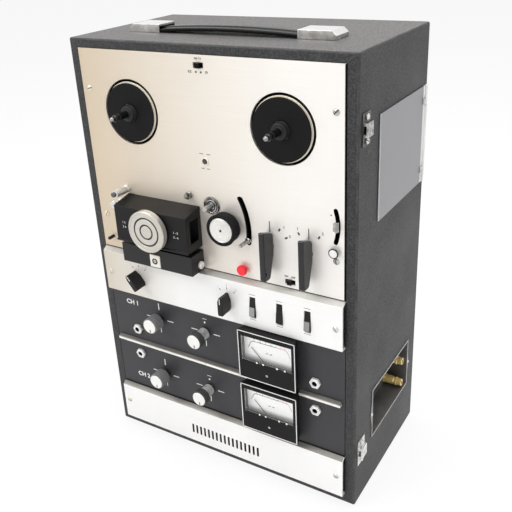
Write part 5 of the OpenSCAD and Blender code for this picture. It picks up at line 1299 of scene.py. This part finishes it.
# Share of the floor's white that is its own glow where it is seen
FLOOR_GLOW = 0.86

# The camera fitted to the photograph: sensor and lens, shift, place in metres and turn in degrees
LENS = (36, 49.765)
SHIFT = (0.00925, -0.0552)
EYE_AT = (0.416456, -0.652844, 0.631485)
EYE_TURN = (66.27829, 2.78820, 31.07377)


class BuildStage(bpy.types.Operator):
    """Pale floor, soft studio light and the camera"""

    bl_idname = "recorder.build_stage"
    bl_label = "Studio"

    def execute(self, context):
        scene = context.scene
        stage = scene.recorder_stage
        scene.view_settings.view_transform = "Standard"
        bm = bmesh.new()
        bmesh.ops.create_grid(bm, x_segments=1, y_segments=1, size=30)
        mesh = bpy.data.meshes.new("studio_floor")
        bm.to_mesh(mesh)
        bm.free()
        floor = bpy.data.objects.new("studio_floor", mesh)
        scene.collection.objects.link(floor)
        mesh.materials.append(floor_finish(tuple(stage.floor)))
        studio_sky(scene, stage.fill)
        for name, place, target, size, share in LIGHTS:
            add_light(scene, name, place, target, size, stage.key * share)

        camera = bpy.data.cameras.new("photo_camera")
        camera.sensor_width, camera.lens = LENS
        camera.shift_x, camera.shift_y = SHIFT
        camera.clip_end = 100
        eye = bpy.data.objects.new("photo_camera", camera)
        eye.location = EYE_AT
        eye.rotation_euler = [math.radians(angle) for angle in EYE_TURN]
        scene.collection.objects.link(eye)
        scene.camera = eye
        return {"FINISHED"}


def add_light(scene, name, place, target, size, power):
    """A soft square light that looks at a point."""
    lamp = bpy.data.lights.new(name, "AREA")
    lamp.size = size
    lamp.energy = power
    obj = bpy.data.objects.new(name, lamp)
    obj.location = place
    obj.rotation_euler = (Vector(target) - Vector(place)).to_track_quat("-Z", "Y").to_euler()
    scene.collection.objects.link(obj)


def seen_rays(tree):
    """A value that is 1 for camera, mirror and glass rays and 0 for light."""
    rays = add(tree, "LightPath").outputs
    value = rays["Is Camera Ray"]
    for other in ("Is Glossy Ray", "Is Transmission Ray"):
        value = chain(tree, "Math", value, rays[other], operation="MAXIMUM")
    return value


def floor_finish(tint):
    """A pale floor that shows nearly white and keeps the shadow."""
    material = bpy.data.materials.new("studio_paper")
    material.use_nodes = True
    tree = material.node_tree
    tree.nodes.clear()
    paper = add(tree, "BsdfDiffuse", Color=(*tint, 1))
    glow = add(tree, "Emission", Strength=1)
    share = chain(tree, "Math", seen_rays(tree), FLOOR_GLOW, operation="MULTIPLY")
    add(tree, "OutputMaterial", Surface=chain(tree, "MixShader", share, paper.outputs[0], glow.outputs[0]))
    return material


def studio_sky(scene, strength):
    """White where it is seen, softer as light."""
    world = bpy.data.worlds.new("studio_sky")
    scene.world = world
    world.use_nodes = True
    tree = world.node_tree
    level = add(tree, "MapRange", Value=seen_rays(tree), To_Min=strength, To_Max=1)
    fill(tree, tree.nodes["Background"], Color=(1, 1, 1, 1), Strength=level.outputs["Result"])


BUILDERS = (BuildCabinet, BuildHandle, BuildSides, BuildDeck, BuildReels, BuildDrive, BuildHeads, BuildDeckControls,
            BuildControlStrip, BuildAmplifierFront, BuildMeters, BuildInside, BuildStage)


class RecorderPanel(bpy.types.Panel):
    """Sidebar panel with the recorder's colours, sizes and pieces"""

    bl_idname = "VIEW3D_PT_recorder"
    bl_label = "Recorder"
    bl_space_type = "VIEW_3D"
    bl_region_type = "UI"
    bl_category = "Recorder"

    def draw(self, context):
        scene = context.scene
        for group in (scene.recorder_colours, scene.recorder_sizes, scene.recorder_stage):
            box = self.layout.box()
            for name in group.bl_rna.properties.keys():
                if name not in ("rna_type", "name"):
                    box.prop(group, name)
        for builder in BUILDERS:
            self.layout.operator(builder.bl_idname)


GROUPS = {"recorder_colours": RecorderColours, "recorder_sizes": RecorderSizes, "recorder_stage": RecorderStage}


def register():
    for cls in (*GROUPS.values(), *BUILDERS, RecorderPanel):
        bpy.utils.register_class(cls)
    for name, group in GROUPS.items():
        setattr(bpy.types.Scene, name, PointerProperty(type=group))


def unregister():
    for name in GROUPS:
        delattr(bpy.types.Scene, name)
    for cls in reversed((*GROUPS.values(), *BUILDERS, RecorderPanel)):
        bpy.utils.unregister_class(cls)


def main():
    register()
    for builder in BUILDERS:
        family, name = builder.bl_idname.split(".")
        getattr(getattr(bpy.ops, family), name)()


if __name__ == "__main__":
    main()
